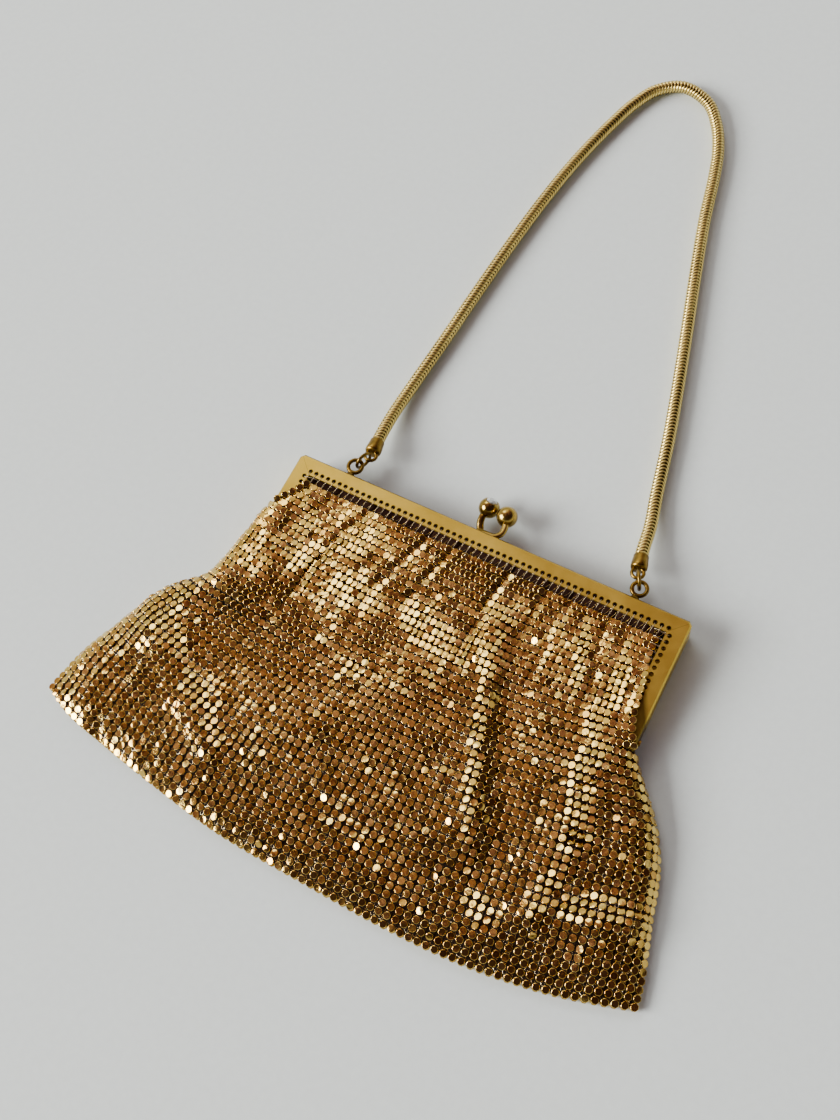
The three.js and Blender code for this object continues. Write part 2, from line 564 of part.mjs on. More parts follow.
// ---- end cups, links and the chain ----
const chainStart = [];
for (const end of CHAIN_ENDS) {
  const lug = new THREE.Vector3(...end.lug);
  const way = new THREE.Vector3(...end.towards).normalize();
  const sideways = new THREE.Vector3().crossVectors(way, new THREE.Vector3(0, 0, 1)).normalize();
  const normal = new THREE.Vector3().crossVectors(sideways, way);
  const turn = new THREE.Matrix4().makeBasis(sideways, way, normal).setPosition(lug);
  const mouth = CHAIN_DIAMETER / 2 + 0.25;
  const cupProfile = [
    [0, 1.7],
    [1.5, 1.7],
    [2.2, 2.4],
    [mouth + CUP_WALL, 4.4],
    [mouth + CUP_WALL, 5.6],
    [mouth + CUP_WALL * 0.7, CUP_LENGTH],
    [mouth, CUP_LENGTH],
    [mouth, 3.9],
    [0, 3.9],
  ].map(([r, s]) => new THREE.Vector2(r, s));
  const upright = new THREE.Matrix4().multiplyMatrices(turn, new THREE.Matrix4().makeRotationX(Math.PI / 2));
  const eyeDisc = new THREE.CylinderGeometry(LUG_RADIUS, LUG_RADIUS, LUG_THICK, 14);
  const eyeBore = new THREE.CylinderGeometry(LUG_HOLE / 2, LUG_HOLE / 2, LUG_THICK + 2, 10);
  const cap = solid(new THREE.LatheGeometry(cupProfile, 12), turn).add(solid(eyeDisc, upright)).subtract(solid(eyeBore, upright));
  add("chain_cap_" + end.side, cap, "chain");
  chainStart.push([4.25, CUP_LENGTH + 0.6].map((s) => lug.clone().addScaledVector(way, s)));

  const eye = new THREE.Vector3(end.eye, EYE_UP, eyeLevel);
  const toLug = lug.clone().sub(eye).setZ(0).normalize();
  const eyeWire = eye.clone().addScaledVector(toLug, EYE_RADIUS);
  const lugWire = lug.clone().sub(toLug.clone().multiplyScalar((LUG_RADIUS + LUG_HOLE / 2) / 2));
  lugWire.z = lug.z + 0.35;
  const middle = eyeWire.clone().add(lugWire).multiplyScalar(0.5);
  const linkNormal = new THREE.Vector3().crossVectors(toLug, new THREE.Vector3(0, 0, 1)).normalize();
  add("link_" + end.side, ring(middle, toLug, linkNormal, LINK_RADIUS, LINK_WIRE, 14, 6), "chain");
}

const route = [
  ...chainStart[0],
  ...CHAIN_ROUTE.map((r) => new THREE.Vector3(r.across * FRAME_WIDTH, r.up * HANDLE_REACH, CHAIN_DIAMETER * (0.5 + r.lift) + 0.02)),
  ...chainStart[1].reverse(),
];
const round = new THREE.Shape();
for (let i = 0; i < CHAIN_SIDES; i++) {
  const a = ((i + 0.5) / CHAIN_SIDES) * 2 * Math.PI;
  const [x, y] = [(Math.cos(a) * CHAIN_DIAMETER) / 2, (Math.sin(a) * CHAIN_DIAMETER) / 2];
  if (i) round.lineTo(x, y);
  else round.moveTo(x, y);
}
round.closePath();
const chainPath = new THREE.CatmullRomCurve3(route);
add("snake_chain", solid(new THREE.ExtrudeGeometry(round, { steps: CHAIN_STEPS, bevelEnabled: false, extrudePath: chainPath })), "chain");

// ---- the part's frame: origin at the middle of the bounding box's bottom ----
const bounds = new THREE.Box3().setFromObject(purse);
const centre = bounds.getCenter(new THREE.Vector3());
purse.position.set(-centre.x, -centre.y, -bounds.min.z);

export default purse;
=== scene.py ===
"""Looks of a vintage metal mesh purse, laid on its back: frame, clasp, mesh bag and handle chain."""

import math

import bpy
import numpy as np
from mathutils import Matrix, Vector


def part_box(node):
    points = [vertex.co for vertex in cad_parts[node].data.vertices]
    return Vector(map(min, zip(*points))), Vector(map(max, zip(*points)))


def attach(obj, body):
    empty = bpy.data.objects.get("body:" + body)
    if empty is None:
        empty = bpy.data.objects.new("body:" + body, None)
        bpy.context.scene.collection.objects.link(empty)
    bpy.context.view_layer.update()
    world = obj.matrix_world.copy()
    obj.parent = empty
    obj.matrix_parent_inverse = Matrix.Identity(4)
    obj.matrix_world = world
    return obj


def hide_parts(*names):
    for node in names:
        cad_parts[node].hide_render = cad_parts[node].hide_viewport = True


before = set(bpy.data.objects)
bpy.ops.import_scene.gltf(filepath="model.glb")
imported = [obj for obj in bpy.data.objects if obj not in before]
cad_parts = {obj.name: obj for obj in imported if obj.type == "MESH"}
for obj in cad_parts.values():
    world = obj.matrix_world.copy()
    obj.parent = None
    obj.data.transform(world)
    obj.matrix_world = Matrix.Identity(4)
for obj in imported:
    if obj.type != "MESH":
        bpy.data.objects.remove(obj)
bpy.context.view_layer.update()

# ---- view ----
# The purse is seen from above, from the side of its lower right corner, as it lies on a table.
VIEW_PLACE = (0.10065, -0.17329, 0.38914)
VIEW_RIGHT = (0.877905, 0.464415, -0.116624)
VIEW_UP = (-0.392618, 0.837579, 0.379885)
VIEW_BACK = (0.274106, -0.287714, 0.917653)
VIEW_LENS = 41.455

view = bpy.data.cameras.new("view")
view.lens = VIEW_LENS
view.sensor_width = 36  # mm, as for the lens
view.clip_start, view.clip_end = 0.01, 20
camera = bpy.data.objects.new("view", view)
bpy.context.scene.collection.objects.link(camera)
turn = Matrix((VIEW_RIGHT, VIEW_UP, VIEW_BACK)).transposed().to_4x4()
camera.matrix_world = Matrix.Translation(VIEW_PLACE) @ turn
bpy.context.scene.camera = camera


# ---- table top and light ----
# A painted pale table top. A wide window stands low at the left, a sunlit wall beyond the upper
# left, and wood hangs over the purse, so polished plates turn bright or copper by how they lean.
def linear(colour):
    """A colour written as sRGB hex, as linear red, green, blue and 1."""
    parts = np.array([int(colour[i : i + 2], 16) for i in (1, 3, 5)]) / 255
    parts = np.where(parts <= 0.04045, parts / 12.92, ((parts + 0.055) / 1.055) ** 2.4)
    return (*parts.tolist(), 1.0)


def add(tree, kind, inputs=None, **settings):
    """Adds a shader node: settings are its properties, inputs are values or other nodes' sockets."""
    made = tree.nodes.new("ShaderNode" + kind)
    for key, value in settings.items():
        setattr(made, key, value)
    for key, value in (inputs or {}).items():
        if isinstance(value, bpy.types.NodeSocket):
            tree.links.new(value, made.inputs[key])
        else:
            made.inputs[key].default_value = value
    return made


def calc(tree, operation, *values):
    """The result of a Math node over numbers or sockets."""
    return add(tree, "Math", dict(enumerate(values)), operation=operation).outputs[0]


def fading(tree, value, start, end, most=1.0):
    """A share that grows from 0 where the value is `start` to `most` where it is `end`."""
    inputs = {"Value": value, "From Min": start, "From Max": end, "To Max": most}
    return add(tree, "MapRange", inputs).outputs["Result"]


def noise(tree, place, scale, **more):
    """The value of a noise texture at a place; its scale is in patches for each metre."""
    return add(tree, "TexNoise", {"Vector": place, "Scale": scale, **more}).outputs["Fac"]


def mixed(tree, share, first, second):
    """A colour between two, by a share of the second."""
    return add(tree, "Mix", {0: share, 6: first, 7: second}, data_type="RGBA").outputs[2]


def bumped(tree, height, strength, distance):
    """The surface's direction, leaned by a height with a strength and a real distance in metres."""
    return add(tree, "Bump", {"Height": height, "Strength": strength, "Distance": distance}).outputs[0]


def close(tree, inputs):
    """Ends a material's tree: a Principled shader with these inputs, joined to the output."""
    shade = add(tree, "BsdfPrincipled", inputs)
    add(tree, "OutputMaterial", {"Surface": shade.outputs[0]})


def finish_of(name):
    """A new material with an empty node tree, and that tree."""
    made = bpy.data.materials.new(name)
    made.use_nodes = True
    made.node_tree.nodes.clear()
    return made, made.node_tree


def ramp(tree, value, stops):
    """A colour ramp over a value, from (place, sRGB hex) stops."""
    made = add(tree, "ValToRGB", {"Fac": value})
    elements = made.color_ramp.elements
    while len(elements) < len(stops):
        elements.new(0.5)
    for element, (place, colour) in zip(elements, stops):
        element.position = place
        element.color = linear(colour)
    return made.outputs["Color"]


WINDOW_WAY = (-0.71, -0.50, 0.47)
WINDOW_LIGHT = "#fffaf2"
WINDOW_FAR = 8.0
WINDOW_SIZE = (4.6, 3.6)
WINDOW_POWER = 1520
WALL_WAY = (-0.6, 0.6, 0.53)
WALL_EDGE = (0.923, 0.938)  # cosines of the angle from its middle between which the wall begins
WALL_RAGGED = 0.12  # how far the patches of wood shift that edge
WOOD = [(0.4, "#33252a"), (0.52, "#795660"), (0.66, "#ba969d")]
WOOD_PATCHES = 6.5
WOOD_LIGHTER = (0.45, -0.28)  # slope and start of its lightening towards the wall
WALL = "#fff8e6"
LOW_WALLS = "#c6c4b6"
LOW_EDGE = (0.5, 0.3)  # heights of the direction between which the low walls begin
SUNLIT_WAY = (-0.6, 0.38, 0.7)
SUNLIT_EDGE = (0.976, 0.982)
SUNLIT_GLARE = (4.0, 3.92, 3.68, 1.0)
ROOM_LIGHT = 1.45
TABLE_HALF = 3.0
TABLE_LEVEL = -0.0002  # a little under the pieces, so that none lies in the table's own plane

world = bpy.data.worlds.new("room")
bpy.context.scene.world = world
world.use_nodes = True
room = world.node_tree
room.nodes.clear()
way = add(room, "TexCoord").outputs["Generated"]
towards_wall = {0: way, 1: Vector(WALL_WAY).normalized()}
towards = add(room, "VectorMath", towards_wall, operation="DOT_PRODUCT").outputs["Value"]
# beams and shelves overhead: wood in patches, lighter towards the wall
patches = noise(room, way, WOOD_PATCHES, Detail=3.0)
overhead = ramp(room, calc(room, "ADD", patches, calc(room, "MULTIPLY_ADD", towards, *WOOD_LIGHTER)), WOOD)
wall_share = fading(room, calc(room, "MULTIPLY_ADD", patches, WALL_RAGGED, towards), *WALL_EDGE)
walled = mixed(room, wall_share, overhead, linear(WALL))
towards_glare = {0: way, 1: Vector(SUNLIT_WAY).normalized()}
sunlit = add(room, "VectorMath", towards_glare, operation="DOT_PRODUCT").outputs["Value"]
walled = mixed(room, fading(room, sunlit, *SUNLIT_EDGE), walled, SUNLIT_GLARE)
height = add(room, "SeparateXYZ", {0: way}).outputs["Z"]
sky = mixed(room, fading(room, height, *LOW_EDGE), walled, linear(LOW_WALLS))
glow = add(room, "Background", {"Color": sky, "Strength": ROOM_LIGHT})
add(room, "OutputWorld", {"Surface": glow.outputs["Background"]})

window = bpy.data.lights.new("window", "AREA")
window.shape = "RECTANGLE"
window.size, window.size_y = WINDOW_SIZE
window.energy = WINDOW_POWER
window.color = linear(WINDOW_LIGHT)[:3]
window_place = bpy.data.objects.new("window", window)
bpy.context.scene.collection.objects.link(window_place)
away = Vector(WINDOW_WAY).normalized()
window_place.location = away * WINDOW_FAR
window_place.rotation_mode = "QUATERNION"
window_place.rotation_quaternion = (-away).to_track_quat("-Z", "Y")

table_mesh = bpy.data.meshes.new("table_top")
corners = [(x * TABLE_HALF, y * TABLE_HALF, TABLE_LEVEL) for x, y in ((-1, -1), (1, -1), (1, 1), (-1, 1))]
table_mesh.from_pydata(corners, [], [(0, 1, 2, 3)])
table_top = bpy.data.objects.new("table_top", table_mesh)
bpy.context.scene.collection.objects.link(table_top)
paint, tree = finish_of("painted_board")
place = add(tree, "TexCoord").outputs["Object"]
grain = noise(tree, place, 420.0, Detail=3.0)
tint = ramp(tree, grain, [(0.3, "#d6e1e4"), (0.7, "#dae5e8")])
close(tree, {"Base Color": tint, "Roughness": 0.55, "Normal": bumped(tree, grain, 0.03, 0.0004)})
table_mesh.materials.append(paint)

# ---- frame ----
# Two pressed halves of gold plated brass sheet, polished and then satin finished. Each is a wide U
# with an L section; the eyes, the clasp fingers and the balls are soldered on.
FRAME_WIDTH = 140.0
ARM_LENGTH = 44.0
FRAME_DEPTH = 11.0
HALF_WIDTH = FRAME_WIDTH / 2
ARM_SLOPE_START = 20.0
ARM_FALL = 2.0
FACE_WIDTH = 6.2
HOLE_INSET = 4.8
HOLE_PITCH = 2.245
FRAME_GOLD = [(0.25, "#c2a43c"), (0.5, "#cdae46"), (0.75, "#d7b850")]
# the dark colour of the frame's marks: old polish in its lines, painted shade round the holes and a painted dark
# reflection on the arm ends
OLD_POLISH_SHADE_AND_REFLECTION = "#2e1a0c"
JOINT_LINE = (-0.0005, -0.0002)  # where the line along the bar's top darkens, metres from the edge
CREASE_HALF = 0.00008
# painted shade round each hole: a dark ring between these distances
HOLE_PAINTED_SHADE = (0.0008, 0.00068)  # from the hole's middle, in metres
# a painted dark reflection over the lower ends of the arms, past a slanted line
ARM_DARK_REFLECTION_SLANT = 1.8
ARM_DARK_REFLECTION_START = 21.0  # mm down the arm, at the face's inner edge
ARM_DARK_REFLECTION_FADE = 0.0035

# Pieces are worked out in millimetres from the middle of the bar's top edge, up from the table.
frame_low, frame_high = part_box("front_frame")
BAR_MIDDLE = np.array([(frame_low.x + frame_high.x) / 2, frame_low.y + ARM_LENGTH / 1000, 0.0])


def satin_gold(name, stops, roughness, grit, marked=None):
    """Plated brass rubbed to a satin: fine even grit in the gloss, faint cloudy tarnish in the colour.
    `marked` adds the frame's dark marks, painted shade and a painted reflection to the colour, as a function of the
    tree and the place."""
    made, tree = finish_of(name)
    place = add(tree, "TexCoord").outputs["Object"]
    cloud = noise(tree, place, 90.0, Detail=5.0, Roughness=0.6)
    # grit of about 0.3 mm, three times as coarse as the real one so that it shows
    fine = noise(tree, place, 3200.0, Detail=2.0)
    colour = ramp(tree, cloud, stops)
    if marked:
        colour = marked(tree, place, colour)
    gloss_range = {"From Min": 0.3, "From Max": 0.7, "To Min": roughness - 0.05, "To Max": roughness + 0.07}
    gloss = add(tree, "MapRange", {"Value": cloud, **gloss_range}).outputs["Result"]
    bump = bumped(tree, fine, grit, 0.0001)
    close(tree, {"Base Color": colour, "Metallic": 1.0, "Roughness": gloss, "Normal": bump})
    return made


def piece(name, points, faces, material, uv=None, marks=None, smooth=True):
    """An object from points in millimetres and index arrays, one array for each count of corners."""
    mesh = bpy.data.meshes.new(name)
    points = np.asarray(points, float).reshape(-1, 3) * 0.001 + BAR_MIDDLE
    corner = np.concatenate([f.ravel() for f in faces]).astype(np.int32)
    sizes = np.concatenate([np.full(len(f), f.shape[1]) for f in faces])
    starts = (np.cumsum(sizes) - sizes).astype(np.int32)
    mesh.vertices.add(len(points))
    mesh.vertices.foreach_set("co", points.astype(np.float32).ravel())
    mesh.loops.add(len(corner))
    mesh.loops.foreach_set("vertex_index", corner)
    mesh.polygons.add(len(sizes))
    mesh.polygons.foreach_set("loop_start", starts)
    mesh.update(calc_edges=True)
    mesh.polygons.foreach_set("use_smooth", np.full(len(sizes), smooth))
    if uv is not None:
        layer = mesh.uv_layers.new(name="UVMap")
        layer.data.foreach_set("uv", np.asarray(uv, np.float32).reshape(-1, 2)[corner].ravel())
    for key, values in (marks or {}).items():
        attribute = mesh.attributes.new(key, "FLOAT", "POINT")
        attribute.data.foreach_set("value", np.asarray(values, np.float32).ravel())
    mesh.materials.append(material)
    mesh.validate()
    made = bpy.data.objects.new(name, mesh)
    bpy.context.scene.collection.objects.link(made)
    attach(made, "root")
    return made


def copy_of(node, material, name):
    """A hard CAD node's triangles with their corners merged, smooth where faces turn under 30 degrees."""
    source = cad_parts[node].data
    points = np.empty(len(source.vertices) * 3, np.float32)
    source.vertices.foreach_get("co", points)
    corner = np.empty(len(source.loops), np.int32)
    source.loops.foreach_get("vertex_index", corner)
    places, index = np.unique(np.round(points.reshape(-1, 3), 6), axis=0, return_inverse=True)
    triangles = index.reshape(-1)[corner].reshape(-1, 3)
    whole = (triangles != np.roll(triangles, 1, axis=1)).all(1)
    made = piece(name, (places - BAR_MIDDLE) * 1000, [triangles[whole]], material)
    made.data.set_sharp_from_angle(angle=math.radians(30))
    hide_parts(node)
    return made


def frame_marks_shade_and_reflection(tree, place, colour):
    """Dark marks in the frame: old polish in a thin line where the two halves meet along the top of the bar
    and in the pressed crease of the mitred corners, painted shade in a dark rim round each punched hole,
    and a painted dark reflection over the lower ends of the arms."""
    part = add(tree, "SeparateXYZ", {0: place})
    x = calc(tree, "SUBTRACT", part.outputs["X"], BAR_MIDDLE[0])
    y = calc(tree, "SUBTRACT", part.outputs["Y"], BAR_MIDDLE[1])
    wide = calc(tree, "ABSOLUTE", x)
    crease = calc(tree, "COMPARE", calc(tree, "SUBTRACT", wide, y), HALF_WIDTH / 1000, CREASE_HALF)
    share = calc(tree, "MAXIMUM", fading(tree, y, *JOINT_LINE, 0.75), calc(tree, "MULTIPLY", crease, 0.5))

    pitch, inset, hole_x = HOLE_PITCH / 1000, HOLE_INSET / 1000, (HALF_WIDTH - HOLE_INSET) / 1000
    bar_row = (x, y, 0.0, inset, -hole_x, hole_x)
    arm_row = (y, wide, HOLE_INSET / HOLE_PITCH + 0.5, -hole_x, -ARM_LENGTH / 1000, -inset - pitch / 2)
    for along_row, from_row, shift, aside, low, high in (bar_row, arm_row):
        steps = calc(tree, "MULTIPLY_ADD", along_row, 1 / pitch, shift)
        off = calc(tree, "MULTIPLY_ADD", calc(tree, "FRACT", steps), pitch, -pitch / 2)
        spot = add(tree, "CombineXYZ", {"X": off, "Y": calc(tree, "ADD", from_row, aside)}).outputs[0]
        far = add(tree, "VectorMath", {0: spot}, operation="LENGTH").outputs["Value"]
        within = calc(tree, "COMPARE", along_row, (low + high) / 2, (high - low) / 2)
        # painted shade: a dark ring round each punched hole
        rim = calc(tree, "MULTIPLY", fading(tree, far, *HOLE_PAINTED_SHADE, 0.92), within)
        share = calc(tree, "MAXIMUM", share, rim)

    # painted dark reflection: the lower ends of the arms darken past a slanted line
    on_arm = calc(tree, "MAXIMUM", wide, (HALF_WIDTH - FACE_WIDTH) / 1000)
    slant = calc(tree, "MULTIPLY_ADD", on_arm, ARM_DARK_REFLECTION_SLANT, y)
    start = (ARM_DARK_REFLECTION_SLANT * (HALF_WIDTH - FACE_WIDTH) - ARM_DARK_REFLECTION_START) / 1000
    share = calc(tree, "MAXIMUM", share, fading(tree, slant, start, start - ARM_DARK_REFLECTION_FADE, 0.8))
    return mixed(tree, share, colour, linear(OLD_POLISH_SHADE_AND_REFLECTION))


frame_gold = satin_gold("satin_gold_plate", FRAME_GOLD, 0.34, 0.2, frame_marks_shade_and_reflection)
front_half = copy_of("front_frame", frame_gold, "front_half")
back_half = copy_of("back_frame", frame_gold, "back_half")


# ---- clasp ----
# A bent finger with a hollow ball on each half of the frame, pressed past each other to close.
# The balls are polished; the back one holds a foiled paste stone in a turned seat.
BALL_RADIUS = 3.5
BALL_ROWS, BALL_SIDES = 25, 40
SEAT_LEVEL = 2.31  # where the back ball is cut off for the stone, from its middle
FINGER_POINTS = 60
FRONT_BALL = (1.7, 9.2, 7.1)
BACK_BALL = (-5.6, 10.5, 5.0)
STONE_FACING = (0.1, 0.76, 0.64)
FRONT_FINGER = [
    (-4.2, 0.35, 8.8),
    (-1.2, 0.35, 8.8),
    (1.3, 0.55, 8.75),
    (2.9, 2.2, 8.5),
    (3.1, 4.4, 8.1),
    (2.2, 7.4, 7.4),
]
BACK_FINGER = [(-4.3, -0.3, 3.0), (-4.9, 2.2, 3.2), (-6.1, 4.8, 3.8), (-6.4, 7.0, 4.4), (-5.9, 9.2, 4.8)]
BALL_GOLD = [(0.25, "#957b3c"), (0.55, "#a78c46"), (0.8, "#b89c50")]


def grid_faces(rows, columns, wrap_rows=False, wrap_columns=False):
    """Four-cornered faces between neighbours of a grid of points."""
    r = np.arange(rows if wrap_rows else rows - 1)[:, None]
    c = np.arange(columns if wrap_columns else columns - 1)[None, :]
    r1, c1 = (r + 1) % rows, (c + 1) % columns
    quads = [r * columns + c, r * columns + c1, r1 * columns + c1, r1 * columns + c]
    return np.stack([np.broadcast_to(q, np.broadcast(r, c).shape) for q in quads], -1).reshape(-1, 4)


def unit(v):
    """Vectors scaled to length 1 along the last axis."""
    v = np.asarray(v, float)
    return v / np.maximum(np.linalg.norm(v, axis=-1, keepdims=True), 1e-12)


def curve(points, steps):
    """A smooth curve through points, centripetal: between two of them a cubic whose end slopes lean
    on the points before and after, each step timed by the square root of its length. Returns
    `steps` points evenly spaced along it."""
    p = np.asarray(points, float)
    p = np.concatenate([[2 * p[0] - p[1]], p, [2 * p[-1] - p[-2]]])
    d = np.sqrt(np.linalg.norm(np.diff(p, axis=0), axis=1))[:, None]
    p0, p1, p2, p3 = p[:-3], p[1:-2], p[2:-1], p[3:]
    d0, d1, d2 = d[:-2], d[1:-1], d[2:]
    m1 = ((p1 - p0) / d0 - (p2 - p0) / (d0 + d1) + (p2 - p1) / d1) * d1
    m2 = ((p2 - p1) / d1 - (p3 - p1) / (d1 + d2) + (p3 - p2) / d2) * d1
    t = np.linspace(0, 1, 60, endpoint=False)[None, :, None]
    h = [2 * t**3 - 3 * t**2 + 1, t**3 - 2 * t**2 + t, 3 * t**2 - 2 * t**3, t**3 - t**2]
    q = h[0] * p1[:, None] + h[1] * m1[:, None] + h[2] * p2[:, None] + h[3] * m2[:, None]
    q = np.concatenate([q.reshape(-1, 3), p[-2:-1]])
    s = np.concatenate([[0], np.cumsum(np.linalg.norm(np.diff(q, axis=0), axis=1))])
    even = np.linspace(0, s[-1], steps)
    return np.stack([np.interp(even, s, q[:, k]) for k in range(3)], -1)


def around(path, radius, sides, up=(0, 0, 1), flatten=1.0):
    """Points of a tube: at each path point a circle of `radius` across the path's direction.
    radius may vary as an array (path points, sides); flatten scales it along the tube's own up."""
    path = np.asarray(path, float)
    ahead = unit(np.gradient(path, axis=0))
    side = unit(np.cross(ahead, up))
    over = np.cross(side, ahead)
    a = np.arange(sides) / sides * 2 * np.pi
    radius = np.broadcast_to(radius, (len(path), sides))[..., None]
    sideways, upwards = np.cos(a)[None, :, None], np.sin(a)[None, :, None]
    return path[:, None] + radius * (sideways * side[:, None] + flatten * upwards * over[:, None])


def tube(name, path, radius, sides, material, up=(0, 0, 1), flatten=1.0):
    """A closed tube along a path, its ends drawn in to points."""
    ring = around(path, radius, sides, up, flatten)
    ring = np.concatenate([ring[:1] * 0 + path[0], ring, ring[:1] * 0 + path[-1]])
    return piece(name, ring, [grid_faces(len(ring), sides, wrap_columns=True)], material)


def frame_at(way, up=(0, 0, 1)):
    """Three unit directions: sideways, along `way`, and out of both."""
    way = unit(way)
    side = unit(np.cross(way, up))
    return side, way, np.cross(side, way)


def turned(middle, axes, profile, sides):
    """A turned body: a profile of (radius, height along the axis) rows carried round its axis."""
    side, way, out = axes
    a = np.arange(sides) / sides * 2 * np.pi
    r, h = np.asarray(profile, float).T
    spin = np.cos(a)[None, :, None] * side + np.sin(a)[None, :, None] * out
    return np.asarray(middle) + r[:, None, None] * spin + h[:, None, None] * way


ball_gold = satin_gold("polished_gold_plate", BALL_GOLD, 0.15, 0.06)
stone_axes = frame_at(STONE_FACING)
arc = np.linspace(-np.pi / 2, np.pi / 2, BALL_ROWS)
round_ball = np.stack([BALL_RADIUS * np.cos(arc), BALL_RADIUS * np.sin(arc)], -1)
seated = [(r, h) for r, h in round_ball if h < SEAT_LEVEL]
rim = math.sqrt(BALL_RADIUS**2 - SEAT_LEVEL**2)
for radius, level in ((rim, 0), (rim - 0.1, 0.12), (2.3, 0.16), (2.2, 0), (1.9, -0.5), (0.0, -1.25)):
    seated.append((radius, SEAT_LEVEL + level))
front_ball_points = turned(FRONT_BALL, frame_at((0.25, 1, 0)), round_ball, BALL_SIDES)
back_ball_points = turned(BACK_BALL, stone_axes, seated, BALL_SIDES)
front_ball_faces = grid_faces(BALL_ROWS, BALL_SIDES, wrap_columns=True)
back_ball_faces = grid_faces(len(seated), BALL_SIDES, wrap_columns=True)
front_ball = piece("clasp_ball_front", front_ball_points, [front_ball_faces], ball_gold)
back_ball = piece("clasp_ball_back", back_ball_points, [back_ball_faces], ball_gold)
front_path, back_path = curve(FRONT_FINGER, FINGER_POINTS), curve(BACK_FINGER, FINGER_POINTS)
swelling = np.linspace(0.8, 1.2, FINGER_POINTS)[:, None]
front_finger = tube("clasp_finger_front", front_path, swelling, 16, ball_gold, flatten=0.8)
back_finger = tube("clasp_finger_back", back_path, 1.2, 16, ball_gold, flatten=0.75)

# ---- stone ----
# A round clear paste stone, foiled behind: a table, eight crown facets with kites between them, and
# a pavilion of eight facets. Glass over a foil gone dull, pale grey with bright facets.
STONE_RADIUS = 2.0
STONE_STEP = np.pi / 8
STONE_LIFT = 0.02


def octagon(radius, level, turn_by):
    """Eight points round the stone's axis, turned by a share of the step between facets."""
    a = np.arange(8) / 8 * 2 * np.pi + turn_by * STONE_STEP
    spin = np.cos(a)[:, None] * stone_axes[0] + np.sin(a)[:, None] * stone_axes[2]
    return np.array(BACK_BALL) + radius * spin + (SEAT_LEVEL + STONE_LIFT + level) * stone_axes[1]


def facets(a, b, ahead):
    """Triangles between two rings of eight points that begin at a and b; each pair is split the other
    way where the second ring is half a step ahead."""
    i = np.arange(8)
    j = (i + 1) % 8
    far, near = (b + i, a + j) if ahead else (b + j, a + i)
    return np.concatenate([np.stack([a + i, a + j, far], -1), np.stack([near, b + j, b + i], -1)])


stone_rings = [
    octagon(1.12, 0.86, 0),
    octagon(1.62, 0.56, 1),
    octagon(STONE_RADIUS, 0.18, 0),
    octagon(STONE_RADIUS, 0.06, 0),
    octagon(1.15, -0.45, 1),
    octagon(0.02, -0.85, 1),
]
stone_bands = [facets(8 * k, 8 * k + 8, ahead) for k, ahead in enumerate((True, False, False, True, False))]
stone_faces = [np.concatenate(stone_bands)[:, ::-1], np.arange(8)[None, :], np.arange(40, 48)[None, ::-1]]
paste, tree = finish_of("paste_stone")
place = add(tree, "TexCoord").outputs["Object"]
tint = ramp(tree, noise(tree, place, 900.0), [(0.3, "#a4a9ae"), (0.7, "#c4c8cb")])
glass = {"Roughness": 0.03, "IOR": 1.58, "Transmission Weight": 0.3, "Coat Weight": 0.6, "Coat Roughness": 0.02}
close(tree, {"Base Color": tint, **glass})
stone = piece("clasp_stone_cut", np.concatenate(stone_rings), stone_faces, paste, smooth=False)
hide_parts("clasp_stone")

# ---- hinge pins ----
# A plain brass pin through the arms of both halves on each side, its heads peened over. The CAD's
# own pins are shown, since the arms and the mesh all but hide them.
pin_brass = satin_gold("turned_brass", [(0.3, "#8a6a34"), (0.7, "#a5813f")], 0.38, 0.2)
for name in ("hinge_pin_left", "hinge_pin_right"):
    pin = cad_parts[name]
    pin.data.materials.clear()
    pin.data.materials.append(pin_brass)

# ---- eyes, links and end caps of the handle ----
# Round brass wire: an eye on a flared foot soldered to the bar, a link through it, and a cap with a
# flattened ring that is crimped over the end of the chain. Darker than the frame, with brown in the
# hollows.
EYE_RADIUS, EYE_WIRE, EYE_UP, EYE_LEVEL = 2.38, 1.35, 3.9, 8.8
LINK_REACH = 2.35  # where the link hangs in the eye, from the eye's middle
LINK_RADIUS, LINK_WIRE = 2.9, 1.15
LUG_RADIUS, LUG_HOLE = 2.5, 2.7
CUP_LENGTH = 7.8
FOOT_PROFILE = [(0, 1.75), (0.75, 1.7), (0.85, 1.35), (1.05, 0.95), (1.5, 0.45), (2.05, 0.12), (2.1, -0.1), (0, -0.1)]
CUP_PROFILE = [
    *((0, 1.25), (1.7, 1.3), (2.45, 1.5), (2.72, 2.0), (2.78, 2.7), (2.72, 3.6), (2.6, 4.7)),
    *((2.52, 5.7), (2.5, 6.3), (2.42, 6.5), (2.3, 6.45), (2.27, 5.0), (0, 5.0)),
]
CHAIN_RADIUS = 2.24
CHAIN_ENDS = [
    ("left", -52.0, (-49.8, 10.1, 7.0), (-1.2, 7.4, -1.6)),
    ("right", 50.5, (47.6, 9.2, 7.0), (-1.8, 7.4, -1.6)),
]


def hoop(middle, first, second, radius, wire, turns, sides, squash=1.0):
    """A ring of wire: a circle of `radius` in the plane of two directions, with a round section.
    squash makes the wire flatter or taller across the ring's plane."""
    first, second = unit(first), unit(second)
    normal = np.cross(first, second)
    a = np.arange(turns)[:, None, None] / turns * 2 * np.pi
    b = np.arange(sides)[None, :, None] / sides * 2 * np.pi
    out = np.cos(a) * first + np.sin(a) * second
    return np.asarray(middle) + (radius + wire / 2 * np.cos(b)) * out + wire / 2 * squash * np.sin(b) * normal


